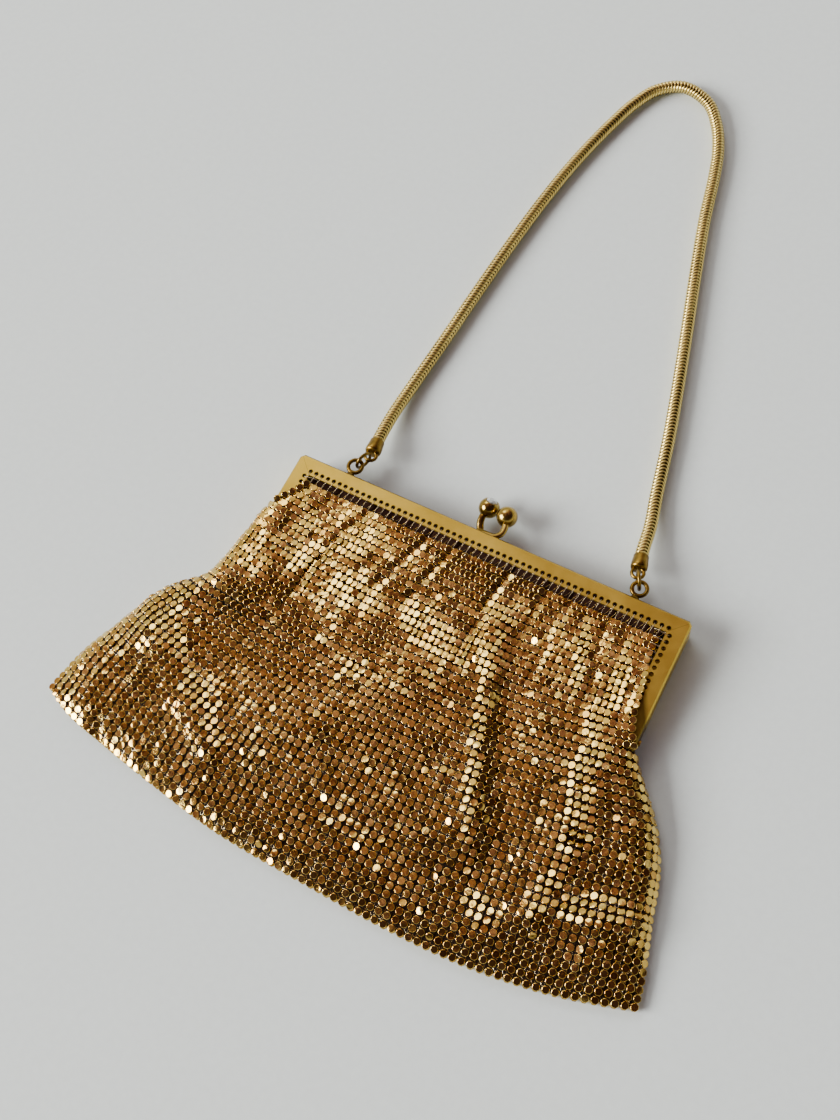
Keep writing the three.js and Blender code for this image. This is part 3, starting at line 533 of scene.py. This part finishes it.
old_brass = satin_gold("aged_brass", [(0.25, "#4a3616"), (0.5, "#7a6028"), (0.75, "#a5873c")], 0.27, 0.2)
chain_start = []
for side, across, lug, towards_chain in CHAIN_ENDS:
    lug = np.array(lug)
    axes = frame_at(towards_chain)
    eye = np.array([across, EYE_UP, EYE_LEVEL])
    eye_points = hoop(eye, (0, 1, 0), (1, 0, 0), EYE_RADIUS, EYE_WIRE, 40, 12)
    eye_ring = piece("chain_eye_" + side, eye_points, [grid_faces(40, 12, True, True)[:, ::-1]], old_brass)
    foot_points = turned((across, 0.05, EYE_LEVEL), ((1, 0, 0), (0, 1, 0), (0, 0, 0.5)), FOOT_PROFILE, 24)
    foot_faces = grid_faces(len(FOOT_PROFILE), 24, wrap_columns=True)
    foot = piece("chain_eye_foot_" + side, foot_points, [foot_faces], old_brass)
    lug_middle = (LUG_RADIUS + LUG_HOLE / 2) / 2
    to_lug = unit((lug - eye) * (1, 1, 0))
    far = lug - to_lug * lug_middle
    far[2] = lug[2] + 0.35
    middle = (eye + to_lug * LINK_REACH + far) / 2
    link_points = hoop(middle, to_lug, (0, 0, 1), LINK_RADIUS, LINK_WIRE, 44, 12)
    link = piece("handle_link_" + side, link_points, [grid_faces(44, 12, True, True)[:, ::-1]], old_brass)
    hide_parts("link_" + side)
    cup_faces = grid_faces(len(CUP_PROFILE), 36, wrap_columns=True)
    cup = piece("chain_cup_" + side, turned(lug, axes, CUP_PROFILE, 36), [cup_faces], old_brass)
    lug_points = hoop(lug, axes[1], axes[0], lug_middle, LUG_RADIUS - LUG_HOLE / 2, 36, 14, squash=1.04)
    lug_ring = piece("chain_lug_" + side, lug_points, [grid_faces(36, 14, True, True)], old_brass)
    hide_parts("chain_cap_" + side)
    chain_start.append([lug + axes[1] * 4.25, lug + axes[1] * (CUP_LENGTH + 0.6)])

# ---- handle chain ----
# A snake chain: bands of brass bent to a zigzag, each hooked in the last, so that ridges 1.25 mm
# apart run round it in chevrons. Worn bright on the ridges and brown in the grooves.
HANDLE_REACH = 196.6
CHAIN_ROUTE = [
    (-0.37, 0.15, 0.27),
    (-0.367, 0.21, 0.05),
    (-0.355, 0.32, 0.01),
    (-0.344, 0.432, 0),
    (-0.331, 0.544, 0),
    (-0.314, 0.655, 0),
    (-0.29, 0.763, 0),
    (-0.254, 0.869, 0),
    (-0.227, 0.928, 0),
    (-0.189, 0.975, 0),
    (-0.128, 1.0, 0),
    (-0.05, 0.983, 0),
    (0.002, 0.938, 0),
    (0.036, 0.887, 0),
    (0.058, 0.834, 0),
    (0.091, 0.732, 0),
    (0.136, 0.616, 0),
    (0.178, 0.513, 0),
    (0.221, 0.405, 0),
    (0.26, 0.301, 0.01),
    (0.295, 0.193, 0.05),
    (0.315, 0.137, 0.3),
]
RIDGE_PITCH = 1.25
RIDGE_STEPS = 8
CHAIN_SIDES = 32
GROOVE = 0.16  # depth between two ridges, as a share of the radius
SPINE_DENT = 0.05  # depth of the line through the chevrons' points
SPINE_HALF = 0.12

route = [(a * FRAME_WIDTH, u * HANDLE_REACH, 2 * CHAIN_RADIUS * (0.5 + rise) + 0.02) for a, u, rise in CHAIN_ROUTE]
route = [*chain_start[0], *route, *chain_start[1][::-1]]
rough_path = curve(route, 2000)
chain_length = np.linalg.norm(np.diff(rough_path, axis=0), axis=1).sum()
chain_path = curve(route, int(chain_length / RIDGE_PITCH * RIDGE_STEPS))
steps_along = np.linspace(0, chain_length, len(chain_path))[:, None]
round_it = (np.arange(CHAIN_SIDES) / CHAIN_SIDES)[None, :]
twist = 0.06 * np.sin(steps_along / chain_length * 9.0) + 0.12
zigzag_lean = 2 * np.abs((2 * (round_it + twist)) % 1 - 0.5)  # 0 on a chevron's point, 1 between two
ridge = (steps_along / RIDGE_PITCH + zigzag_lean) % 1
crest = np.sin(np.pi * ridge) ** 0.8
spine = np.exp(-((zigzag_lean / SPINE_HALF) ** 2)) + np.exp(-(((1 - zigzag_lean) / SPINE_HALF) ** 2))
chain_radius = CHAIN_RADIUS * (1 - GROOVE + GROOVE * crest - SPINE_DENT * spine)
chain_points = around(chain_path, chain_radius, CHAIN_SIDES)
wear = (crest - 0.5 * spine) * np.ones_like(chain_radius)

chain_brass, tree = finish_of("snake_chain_brass")
place = add(tree, "TexCoord").outputs["Object"]
worn = add(tree, "Attribute", attribute_name="wear").outputs["Fac"]
cloud = noise(tree, place, 55.0, Detail=4.0)
bright = calc(tree, "MULTIPLY_ADD", cloud, 0.4, worn)
colour = ramp(tree, bright, [(0.3, "#140c04"), (0.55, "#94793a"), (0.85, "#e6ce7c")])
bump = bumped(tree, noise(tree, place, 2600.0), 0.12, 0.0001)
close(tree, {"Base Color": colour, "Metallic": 1.0, "Roughness": 0.3, "Normal": bump})
chain_faces = grid_faces(len(chain_path), CHAIN_SIDES, wrap_columns=True)
chain = piece("handle_chain", chain_points, [chain_faces], chain_brass, marks={"wear": wear})
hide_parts("snake_chain")

# ---- mesh bag ----
# Ring and plate mesh: flat eight-sided brass plates, 2.5 mm wide and gold plated, in square rows
# 2.7 mm apart, on small rings under the gaps. The lean of each polished plate decides whether it
# mirrors the pale wall or the wood, so the mesh shows its folds in champagne and copper.
BAG_HEIGHT = 123.5
MOUTH = 6.95
# depth, left edge, right edge (shares of half the frame width), rounding left, right (mm), height (share)
BAG_ROWS = [
    (0, 0.893, 0.893, 2.2, 2.2, 0.9),
    (0.045, 0.92, 0.894, 2.2, 2.2, 0.92),
    (0.09, 0.965, 0.897, 2.2, 2.4, 0.935),
    (0.16, 1.036, 0.926, 2.2, 2.6, 0.93),
    (0.23, 1.064, 0.943, 2.6, 3, 0.91),
    (0.3, 1.087, 0.97, 3.2, 4, 0.9),
    (0.37, 1.113, 1.035, 4.5, 5, 0.89),
    (0.43, 1.155, 1.115, 8, 8, 0.87),
    (0.5, 1.268, 1.2, 12, 10, 0.84),
    (0.58, 1.343, 1.272, 14, 12, 0.81),
    (0.66, 1.387, 1.316, 15, 13, 0.77),
    (0.75, 1.44, 1.35, 15, 14, 0.7),
    (0.84, 1.49, 1.39, 15, 14, 0.61),
    (0.92, 1.516, 1.424, 14, 13, 0.5),
    (0.97, 1.535, 1.44, 11, 11, 0.38),
    (1, 1.549, 1.447, 8, 8, 0.25),
]
# share across, drop of the bottom edge as a share of the height
BAG_BOTTOM = [
    (-1, 0.861),
    (-0.9, 0.9),
    (-0.75, 0.927),
    (-0.53, 0.96),
    (-0.28, 0.989),
    (0, 0.997),
    (0.28, 1),
    (0.53, 0.989),
    (0.75, 0.958),
    (0.9, 0.922),
    (1, 0.893),
]
# folds and dents: from x, y to x, y (shares of half the frame width and of the height), width, rise (mm)
BAG_FOLDS = [
    (-0.93, 0.1, -0.96, 0.37, 8.5, 2.7),
    (0.2, 0.21, 0.54, 0.74, 5, 1.7),
    (0.33, 0.22, 0.66, 0.72, 5, -1.3),
    (0.87, 0.41, 0.9, 0.82, 6, 1.4),
    (0.91, 0.81, 1.31, 0.72, 5, 1.5),
    (-1.21, 0.61, -0.66, 0.82, 5, 1.6),
    (-1.3, 0.56, -1.43, 0.76, 5, 1.3),
    (-0.98, 0.52, -0.76, 0.6, 11, -1.1),
    (-0.51, 0.73, -0.32, 0.66, 8, 1),
]
PLATE_COLUMNS = 76
PLATE_ROWS = 43
PLATE_RADIUS = 1.27
PLATE_THICK = 0.32
PLATE_PITCH = 2.72
PLEATS = 19
PLEAT_HALF = 0.55  # half the width of a pleat's narrow valley
TILT = 0.045  # how far a plate leans by chance, as a slope
STRIP_TURN = (0.11, 0.05)  # how far strips of mesh turn under the bar and at the bottom, as slopes
DISH = 0.075  # how far the middle of a plate stands proud or hollow, by chance
PLATE_LEVELS = [(0.87, 0.5), (0.87, 0.5), (0.975, 0.33), (1.0, -0.5)]  # shares of radius and thickness
SINK = 0.16  # how far the plates lie under the panel's surface
WEB_SINK = 0.55  # how far the layer of rings in shade lies under the plates
RING_REACH, RING_WIRE = 0.6, 0.13
CALM = 0.3  # what the back panel's plates keep of their lean, as they lie on the table
LIE_CLEAR = 0.75  # height of the panel over the arms on which it lies
# patches of mesh that lean together, towards the wall or away: x, y to x, y (mm), width (mm), slope
MESH_LEANS = [
    (-62, -44, -57, -20, 4.5, 0.2),
    (-52, -34, -30, -17, 4.5, 0.18),
    (-34, -35, -24, -38, 5.5, 0.21),
    (-10, -35, 8, -40, 5.5, 0.21),
    (18, -24, 25, -58, 2.6, 0.3),
    (25, -58, 41, -97, 2.6, 0.36),
    (24, -8, 26, -32, 3.0, -0.14),
    (30, -60, 42, -88, 2.0, -0.17),
    (56, -9, 57, -42, 3.2, 0.3),
    (41, -12, 46, -34, 2.0, 0.3),
    (60, -52, 66, -75, 4.0, 0.41),
    (66, -75, 63, -100, 3.0, 0.39),
    (48, -104, 53, -106, 4.0, 0.39),
    (72, -93, 92, -87, 4.0, 0.42),
    (-38, -94, -22, -88, 5.5, 0.2),
    (-72, -77, -45, -98, 2.2, 0.24),
    (-58, -102, -46, -114, 2.4, 0.27),
    (-80, -58, -98, -102, 2.6, 0.24),
    (-80, -68, -76, -76, 4.0, 0.2),
    (6, -50, 14, -60, 5.0, 0.18),
    (-62, -60, -66, -74, 9.0, -0.14),
    (-45, -50, -42, -58, 5.0, -0.12),
    (-83, -84, -80, -92, 5.0, -0.14),
    (-28, -10, 60, -10, 5.0, -0.16),
    (-12, -15, 12, -16, 5.0, -0.12),
    (-66, -12, -60, -16, 4.0, 0.25),
    (76, -76, 78, -84, 6.0, -0.12),
    (0, -98, 26, -108, 5.0, 0.13),
    (66, -98, 84, -100, 4.0, 0.16),
]
chance = np.random.default_rng(11)


def along(rows, at, column):
    """A column of a table at places along its first one: between two rows a cubic whose slopes are
    those of the chords from the row before to the row after; held level past the ends."""
    table = np.array(rows, float)
    k, v = table[:, 0], table[:, column]
    at = np.clip(at, k[0], k[-1])
    chords = np.diff(v) / np.diff(k)
    slope = np.concatenate([chords[:1], (v[2:] - v[:-2]) / (k[2:] - k[:-2]), chords[-1:]])
    i = np.clip(np.searchsorted(k, at, side="right") - 1, 0, len(k) - 2)
    span = k[i + 1] - k[i]
    t = (at - k[i]) / span
    h0, h1 = 2 * t**3 - 3 * t**2 + 1, t**3 - 2 * t**2 + t
    h2, h3 = 3 * t**2 - 2 * t**3, t**3 - t**2
    return h0 * v[i] + h1 * slope[i] * span + h2 * v[i + 1] + h3 * slope[i + 1] * span


def step(low, high, value):
    """0 below `low`, 1 above `high`, smooth between."""
    t = np.clip((value - low) / (high - low), 0, 1)
    return t * t * (3 - 2 * t)


def seam_level(depth):
    """Height at which the front and the back panel meet at the bag's edge."""
    return 0.5 * np.minimum(3.2, along(BAG_ROWS, depth, 5) * FRAME_DEPTH)


def pleat(across, depth, width):
    """How far the mesh dips into its pleats: narrow bell-shaped valleys at wandering places across,
    each as deep as it has to be to take up the plates that the row's width has no room for."""
    count = PLEATS * (across * 0.5 + 0.5) + 0.22 * np.sin(5.1 * across + 1) + 0.14 * np.sin(13 * across + 2.0)
    count = count + 0.1 * np.sin(5 * depth + 3 * across) + 0.04 * np.sin(14 * depth + 9 * across)
    spacing = width / PLEATS
    away = (count % 1 - 0.5) * spacing
    spare = np.clip(PLATE_COLUMNS * PLATE_PITCH / width - 1, 0, 1)
    uneven = 0.8 + 0.7 * np.sin(2.4 * np.floor(count) + 0.6)
    return 0.2 * spacing * spare * uneven * np.exp(-((away / PLEAT_HALF) ** 2))


def front_surface(across, depth):
    """The front panel: x runs between the two edges of the table at that depth, y is a share of the
    drop to the bottom edge, and the height is the table's, plus folds that fall off as a bell across
    their line, less the pleats, plus slow waves in both directions.
    Near the edges it turns down on a quarter circle to the seam; inside the arms it stays level, and
    it is never lower than the face of the left arm and of the end of the right arm, on which it lies."""
    left = -along(BAG_ROWS, depth, 1) * HALF_WIDTH
    right = along(BAG_ROWS, depth, 2) * HALF_WIDTH
    x = (left + right) / 2 + (right - left) / 2 * across
    drop = along(BAG_BOTTOM, across, 1) * BAG_HEIGHT
    y = -(MOUTH + depth * (drop - MOUTH))
    rise = np.zeros_like(x)
    for x0, y0, x1, y1, width, height in BAG_FOLDS:
        ax, ay = x0 * HALF_WIDTH, -y0 * BAG_HEIGHT
        dx, dy = x1 * HALF_WIDTH - ax, -y1 * BAG_HEIGHT - ay
        t = np.clip(((x - ax) * dx + (y - ay) * dy) / (dx * dx + dy * dy), 0, 1)
        away = np.hypot(x - ax - t * dx, y - ay - t * dy)
        rise += height * np.exp(-((away / width) ** 2))
    rise -= pleat(across, depth, right - left)
    rise += 0.28 * np.sin(x / 5.6 + 0.9 * np.sin(y / 14)) * np.sin(y / 9.5 + 0.7 * np.sin(x / 21) + 0.4)
    rise += 0.35 * np.sin(x / 9.0 - y / 15.0 + 1.0) * np.cos(y / 17.0 + x / 40.0)
    full = along(BAG_ROWS, depth, 5) * FRAME_DEPTH + rise * np.minimum(1, 4 * (1.02 - depth))

    def rounding(inside, column):
        t = np.clip(inside / along(BAG_ROWS, depth, column), 0, 1)
        return np.sqrt(1 - (1 - t) ** 2)

    turn_left = 1 - (1 - rounding(x - left, 3)) * step(0.11, 0.2, depth)
    turn_right = 1 - (1 - rounding(right - x, 4)) * step(0.3, 0.42, depth)
    low = seam_level(depth)
    z = low + (full - low) * np.minimum(turn_left, turn_right)
    face = FRAME_DEPTH - ARM_FALL * np.clip((-y - ARM_SLOPE_START) / (ARM_LENGTH - ARM_SLOPE_START), 0, 1)
    clear = face + LIE_CLEAR - 1.2 * np.maximum(0, x + HALF_WIDTH - FACE_WIDTH - 0.4)
    clear -= 2.5 * np.maximum(0, -HALF_WIDTH - 0.6 - x) + 1.5 * np.maximum(0, -y - ARM_LENGTH - 0.4)
    over = face + LIE_CLEAR - 2.0 * np.maximum(0, HALF_WIDTH - FACE_WIDTH - 0.3 - x)
    over -= 2.5 * np.maximum(0, x - HALF_WIDTH - 0.6) + 1.5 * np.maximum(0, -y - ARM_LENGTH - 0.4)
    over -= 2.0 * np.maximum(0, y + ARM_SLOPE_START)
    return np.stack([x, y, np.maximum(z, np.maximum(clear, over))], -1)


def back_surface(across, depth):
    """The back panel: flat on the table, gathered upwards under the bar, inside the arms above the
    hinge, and lifted to the seam at its edges below it."""
    below = step(0.33, 0.46, depth)
    inner = HALF_WIDTH - FACE_WIDTH - 0.9
    left = -(inner + below * (along(BAG_ROWS, depth, 1) * HALF_WIDTH - inner))
    right = inner + below * (along(BAG_ROWS, depth, 2) * HALF_WIDTH - inner)
    x = (left + right) / 2 + (right - left) / 2 * across
    y = -(MOUTH + depth * (along(BAG_BOTTOM, across, 1) * BAG_HEIGHT - MOUTH))
    lift = 0.8 * pleat(across, depth, right - left) + 0.06 * (1 + np.sin(x / 7.0) * np.sin(y / 11.0))
    near = np.minimum(x - left, right - x)
    edge_lift = below * (seam_level(depth) - 0.7) * (1 - np.clip(near / 3.0, 0, 1)) ** 2
    return np.stack([x, y, 0.36 + lift + edge_lift], -1)


def evenly(surface, rows, columns, first=0.026, last=0.985):
    """Plate middles on a surface: each row of constant depth is cut into equal lengths along its
    waves, so plates stay as far apart on a gather as on the flat."""
    depth = np.linspace(first, last, rows)[:, None] * np.ones((1, 900))
    fine = surface(np.linspace(-1, 1, 900)[None, :] * np.ones((rows, 1)), depth)
    lengths = np.linalg.norm(np.diff(fine, axis=1), axis=2)
    walked = np.concatenate([np.zeros((rows, 1)), np.cumsum(lengths, axis=1)], 1)
    places = (np.arange(columns) + 0.5) / columns
    picked = [[np.interp(places * w[-1], w, row[:, k]) for k in range(3)] for w, row in zip(walked, fine)]
    return np.array(picked).transpose(0, 2, 1)


def lean(middles, outward):
    """Directions of each plate on a grid of middles: along its row, across it, and out of the bag."""
    row = unit(np.gradient(middles, axis=1))
    down = np.gradient(middles, axis=0)
    out = unit(np.cross(down, row)) * outward
    return row, np.cross(out, row), out


def plate_shape():
    """One plate at the origin: a crown fan round a middle point, then rings of eight points of their
    own for the shoulder and the underside, so that the crown keeps a sharp edge."""
    a = (np.arange(8) + 0.5) / 8 * 2 * np.pi
    spin = np.stack([np.cos(a), np.sin(a)], -1)
    rings = [np.column_stack([spin * PLATE_RADIUS * r, np.full(8, PLATE_THICK * h)]) for r, h in PLATE_LEVELS]
    i = np.arange(8)
    j = (i + 1) % 8
    band = np.concatenate([np.stack([k + i + 8, k + j + 8, k + j, k + i], -1) for k in (8, 16)])
    fan = np.stack([np.full(8, 32), i, j], -1)
    middle = np.array([[0, 0, PLATE_THICK * 0.5]])
    return np.concatenate([*rings, middle]), [band, np.array([24 + i[::-1]]), fan]


def leaning(spot):
    """How the plates at these places lean together: each patch's slope falls off as a bell from its
    line, and two slow waves add a little everywhere. The lean is towards the wall, in the table's plane."""
    x, y = spot[:, 0], spot[:, 1]
    slope = 0.035 * np.sin(x / 5.1 + 1.2 * np.sin(y / 6.3)) * np.sin(y / 5.7 + 0.8 * np.sin(x / 7.9))
    slope += 0.02 * np.sin(x / 13 + y / 17)
    for x0, y0, x1, y1, width, much in MESH_LEANS:
        dx, dy = x1 - x0, y1 - y0
        t = np.clip(((x - x0) * dx + (y - y0) * dy) / (dx * dx + dy * dy), 0, 1)
        away = np.hypot(x - x0 - t * dx, y - y0 - t * dy) / width
        slope += much * np.exp(-(away**4))
    return slope[:, None] * unit([WALL_WAY[0], WALL_WAY[1], 0.0])


def strips(rows, columns):
    """Turns of the mesh in flat strips: two to five columns turn as one about their length, by slopes
    that change every seven rows or so, strong under the bar and slight further down."""
    strip = np.searchsorted(np.cumsum(chance.integers(2, 6, columns)), np.arange(columns), side="right")
    turns = chance.normal(0, 1, (rows // 7 + 3, columns))[:, strip]
    at = np.linspace(0, rows // 7 + 1, rows)[:, None] + chance.random(columns)[strip]
    i = at.astype(int)
    share = step(0.35, 0.65, at - i)
    turn = (1 - share) * turns[i, np.arange(columns)] + share * turns[i + 1, np.arange(columns)]
    fade = step(0.55, 0.25, np.linspace(0, 1, rows))[:, None]
    return turn * (STRIP_TURN[1] + (STRIP_TURN[0] - STRIP_TURN[1]) * fade)


def placed(shape, spots, row, cross, out):
    """A shape's points carried to each spot, turned to the three directions there."""
    x, y, z = (shape[None, :, k : k + 1] for k in range(3))
    return spots[:, None] + x * row[:, None] + y * cross[:, None] + z * out[:, None]


def plates(name, middles, axes, material, freedom):
    """All plates of a panel as one mesh; each leans with its patch and a little by chance, a few of
    them more, and carries its own tone. Freedom is 1 for plates that may lean as they like, and less
    for those that lie on the table."""
    shape, faces = plate_shape()
    row, cross, out = (a.reshape(-1, 3) for a in axes)
    count = len(row)
    loose = np.where(chance.random((count, 1)) < 0.2, 3.0, 1.0)
    slopes = chance.normal(0, TILT, (count, 2)) * loose
    slopes[:, 0] -= strips(*middles.shape[:2]).ravel()
    leans = leaning(middles.reshape(-1, 3)) + slopes[:, :1] * row + slopes[:, 1:] * cross
    out = unit(out + freedom * leans)
    row = unit(row - out * np.sum(row * out, axis=1, keepdims=True))
    cross = np.cross(out, row)
    spot = middles.reshape(-1, 3) + out * chance.normal(0, 0.05, (count, 1))
    points = placed(shape, spot, row, cross, out)
    points[:, 32] += chance.normal(0.02, DISH, (count, 1)) * out
    shift = (np.arange(count) * len(shape))[:, None, None]
    faces = [(f[None] + shift).reshape(-1, f.shape[1]) for f in faces]
    tone = np.repeat(chance.random(count), len(shape))
    return piece(name, points, faces, material, marks={"tone": tone})


def rings_between(name, middles, axes, material):
    """The small rings: one under the gap between each four plates, six-sided with a thin wire."""

    def mean(a):
        return ((a[1:, 1:] + a[1:, :-1] + a[:-1, 1:] + a[:-1, :-1]) / 4).reshape(-1, 3)

    row, out = unit(mean(axes[0])), unit(mean(axes[2]))
    row = unit(row - out * np.sum(row * out, axis=1, keepdims=True))
    cross = np.cross(out, row)
    spot = mean(middles) - out * SINK
    a, b = np.meshgrid(np.arange(6) / 6 * 2 * np.pi, np.arange(3) / 3 * 2 * np.pi, indexing="ij")
    reach = RING_REACH + RING_WIRE * np.cos(b)
    shape = np.stack([reach * np.cos(a), reach * np.sin(a), RING_WIRE * np.sin(b)], -1).reshape(-1, 3)
    points = placed(shape, spot, row, cross, out)
    quads = grid_faces(6, 3, True, True)
    shift = (np.arange(len(spot)) * len(shape))[:, None, None]
    tone = np.repeat(chance.random(len(spot)), len(shape))
    return piece(name, points, [(quads[None] + shift).reshape(-1, 4)], material, marks={"tone": tone})


def plated_brass(name, stops, roughness):
    """Polished gold plate on small brass parts: each part's own tone picks its colour, and the gloss
    and a shallow bump vary within it."""
    made, tree = finish_of(name)
    place = add(tree, "TexCoord").outputs["Object"]
    own = add(tree, "Attribute", attribute_name="tone").outputs["Fac"]
    cloud = noise(tree, place, 700.0, Detail=3.0)
    colour = ramp(tree, calc(tree, "ADD", own, calc(tree, "MULTIPLY_ADD", cloud, 0.4, -0.2)), stops)
    # dents of about 1 mm from wear, within one plate
    bump = bumped(tree, cloud, 0.9, 0.0001)
    close(tree, {"Base Color": colour, "Metallic": 1.0, "Roughness": roughness, "Normal": bump})
    return made


PLATE_TONES = [(0.0, "#bd9148"), (0.25, "#d2ab54"), (0.7, "#ddba62"), (1.0, "#e8c972")]
plate_gold = plated_brass("gold_plated_mesh", PLATE_TONES, 0.12)
ring_gold = plated_brass("ring_wire", [(0.0, "#3a2412"), (0.6, "#7a5a32"), (1.0, "#ecdcb8")], 0.2)

# the layer of rings seen through the gaps: a dark sheet that stands for the rings, its darkness painted shade between
# the plates
web, tree = finish_of("ring_layer_in_shade")
place = add(tree, "UVMap", uv_map="UVMap").outputs["UV"]
cells = add(tree, "TexVoronoi", {"Vector": place, "Scale": 2.0}, feature="DISTANCE_TO_EDGE").outputs["Distance"]
colour = ramp(tree, cells, [(0.0, "#0e0604"), (0.3, "#1c0e08"), (0.6, "#2e1a0e")])
bump = bumped(tree, cells, 0.6, 0.0003)
close(tree, {"Base Color": colour, "Roughness": 0.6, "Specular IOR Level": 0.15, "Normal": bump})

for side, surface, outward in (("front", front_surface, 1), ("back", back_surface, -1)):
    middles = evenly(surface, PLATE_ROWS, PLATE_COLUMNS)
    axes = lean(middles, outward)
    sunk = middles - SINK * axes[2]
    panel = plates("mesh_plates_" + side, sunk, axes, plate_gold, 1.0 if outward > 0 else CALM)
    links = rings_between("mesh_rings_" + side, sunk, axes, ring_gold)
    count = np.stack(np.meshgrid(np.arange(PLATE_COLUMNS), np.arange(PLATE_ROWS)), -1)
    quads = grid_faces(PLATE_ROWS, PLATE_COLUMNS)
    quads = quads[:, ::-1] if outward > 0 else quads
    backing = piece("mesh_under_layer_" + side, sunk - WEB_SINK * axes[2], [quads], web, uv=count)
    if outward > 0:
        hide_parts("mesh_bag")

# ---- lacing wire ----
# A fine brass wire is wound through the holes of the frame and the first row of rings, one turn for
# each hole, and ties the mesh to the frame.
WIRE_RADIUS = 0.08
WIRE_SIDES = 6
WIRE_TONE = 0.95
TURN_POINTS = 20
FRONT_LIFT, BACK_LIFT = 0.35, 1.9  # how far the wire stands over the frame and the mesh, and under them
hole_gaps = 2 * int((HALF_WIDTH - HOLE_INSET - 0.5 * HOLE_PITCH) / HOLE_PITCH) + 1
arm_holes = int((ARM_LENGTH - HOLE_INSET - HOLE_PITCH) / HOLE_PITCH)


def spiral(first, way, inward, turns, level, level_fall=0.0):
    """A wire wound round the frame's inner edge: it moves along `way` by one pitch a turn while it
    circles in the plane of `inward` and up, flattened."""
    t = np.linspace(0, turns, turns * TURN_POINTS + 1)[:, None]
    a = 2 * np.pi * t
    swing = 2.2 + 0.25 * np.sin(a * 0.37)
    lift = np.where(np.sin(a) > 0, FRONT_LIFT, BACK_LIFT) * np.sin(a)
    onward = HOLE_PITCH * (t - 0.3 + 0.3 * np.cos(a))
    height = level + lift + level_fall * t / turns
    return first + way * onward + inward * (0.2 + swing - swing * np.cos(a)) + np.array([0, 0, 1.0]) * height


bar_start = np.array([-hole_gaps / 2 * HOLE_PITCH, -HOLE_INSET, 0.0])
courses = [("lacing_bar", bar_start, (1.0, 0, 0), (0, -1.0, 0), hole_gaps, 0.0)]
for name, side in (("lacing_arm_left", -1), ("lacing_arm_right", 1)):
    arm_start = np.array([side * (HALF_WIDTH - HOLE_INSET), -HOLE_INSET - HOLE_PITCH, 0.0])
    courses.append((name, arm_start, (0, -1.0, 0), (-side * 1.0, 0, 0), arm_holes, -ARM_FALL))
for name, start, way, inward, turns, fall in courses:
    path = spiral(start, np.array(way), np.array(inward), turns, FRAME_DEPTH - 0.1, fall)
    points = around(path, WIRE_RADIUS, WIRE_SIDES)
    quads = grid_faces(len(path), WIRE_SIDES, wrap_columns=True)
    tone = np.full(len(path) * WIRE_SIDES, WIRE_TONE)
    wire = piece(name, points, [quads], ring_gold, marks={"tone": tone})

# ---- lining ----
# A band of dark brown satin behind the mesh at the mouth, glued into the frame. It shows as a dark
# strip between the bar and the first rows of plates.
satin, tree = finish_of("brown_satin")
place = add(tree, "TexCoord").outputs["Object"]
weave = {"Vector": place, "Scale": 900.0, "Distortion": 1.5, "Detail": 2.0}
thread = add(tree, "TexWave", weave, bands_direction="X").outputs["Fac"]
colour = ramp(tree, thread, [(0.2, "#1f0f09"), (0.8, "#371c12")])
bump = bumped(tree, thread, 0.3, 0.0002)
close(tree, {"Base Color": colour, "Roughness": 0.6, "Specular IOR Level": 0.15, "Normal": bump})
LINING_HALF = 62.3
LINING_GAP = 1.2
LINING_DEPTHS = (-0.045, 0.13)  # from over the first row of plates to below it, as the panel's depth
LINING_ROWS, LINING_COLUMNS = 10, 260


def lining_front(across, depth):
    """The band behind the front panel: the panel's own surface, 1.2 mm lower, between the arms."""
    left = -along(BAG_ROWS, depth, 1) * HALF_WIDTH
    right = along(BAG_ROWS, depth, 2) * HALF_WIDTH
    place = (2 * across * LINING_HALF - left - right) / (right - left)
    return front_surface(place, depth) - (0, 0, LINING_GAP)


def lining_back(across, depth):
    """The band behind the back panel: the panel's own surface, 1.2 mm higher."""
    return back_surface(across * 0.99, depth) + (0, 0, LINING_GAP)


spread = np.meshgrid(np.linspace(-1, 1, LINING_COLUMNS), np.linspace(*LINING_DEPTHS, LINING_ROWS))
for side, surface in (("front", lining_front), ("back", lining_back)):
    quads = grid_faces(LINING_ROWS, LINING_COLUMNS)
    quads = quads if side == "back" else quads[:, ::-1]
    band = piece("lining_" + side, surface(*spread), [quads], satin)
    wall = band.modifiers.new("wall", "SOLIDIFY")
    wall.thickness = 0.0003
    wall.offset = 1 if side == "back" else -1
    if side == "front":
        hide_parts("bag_lining")
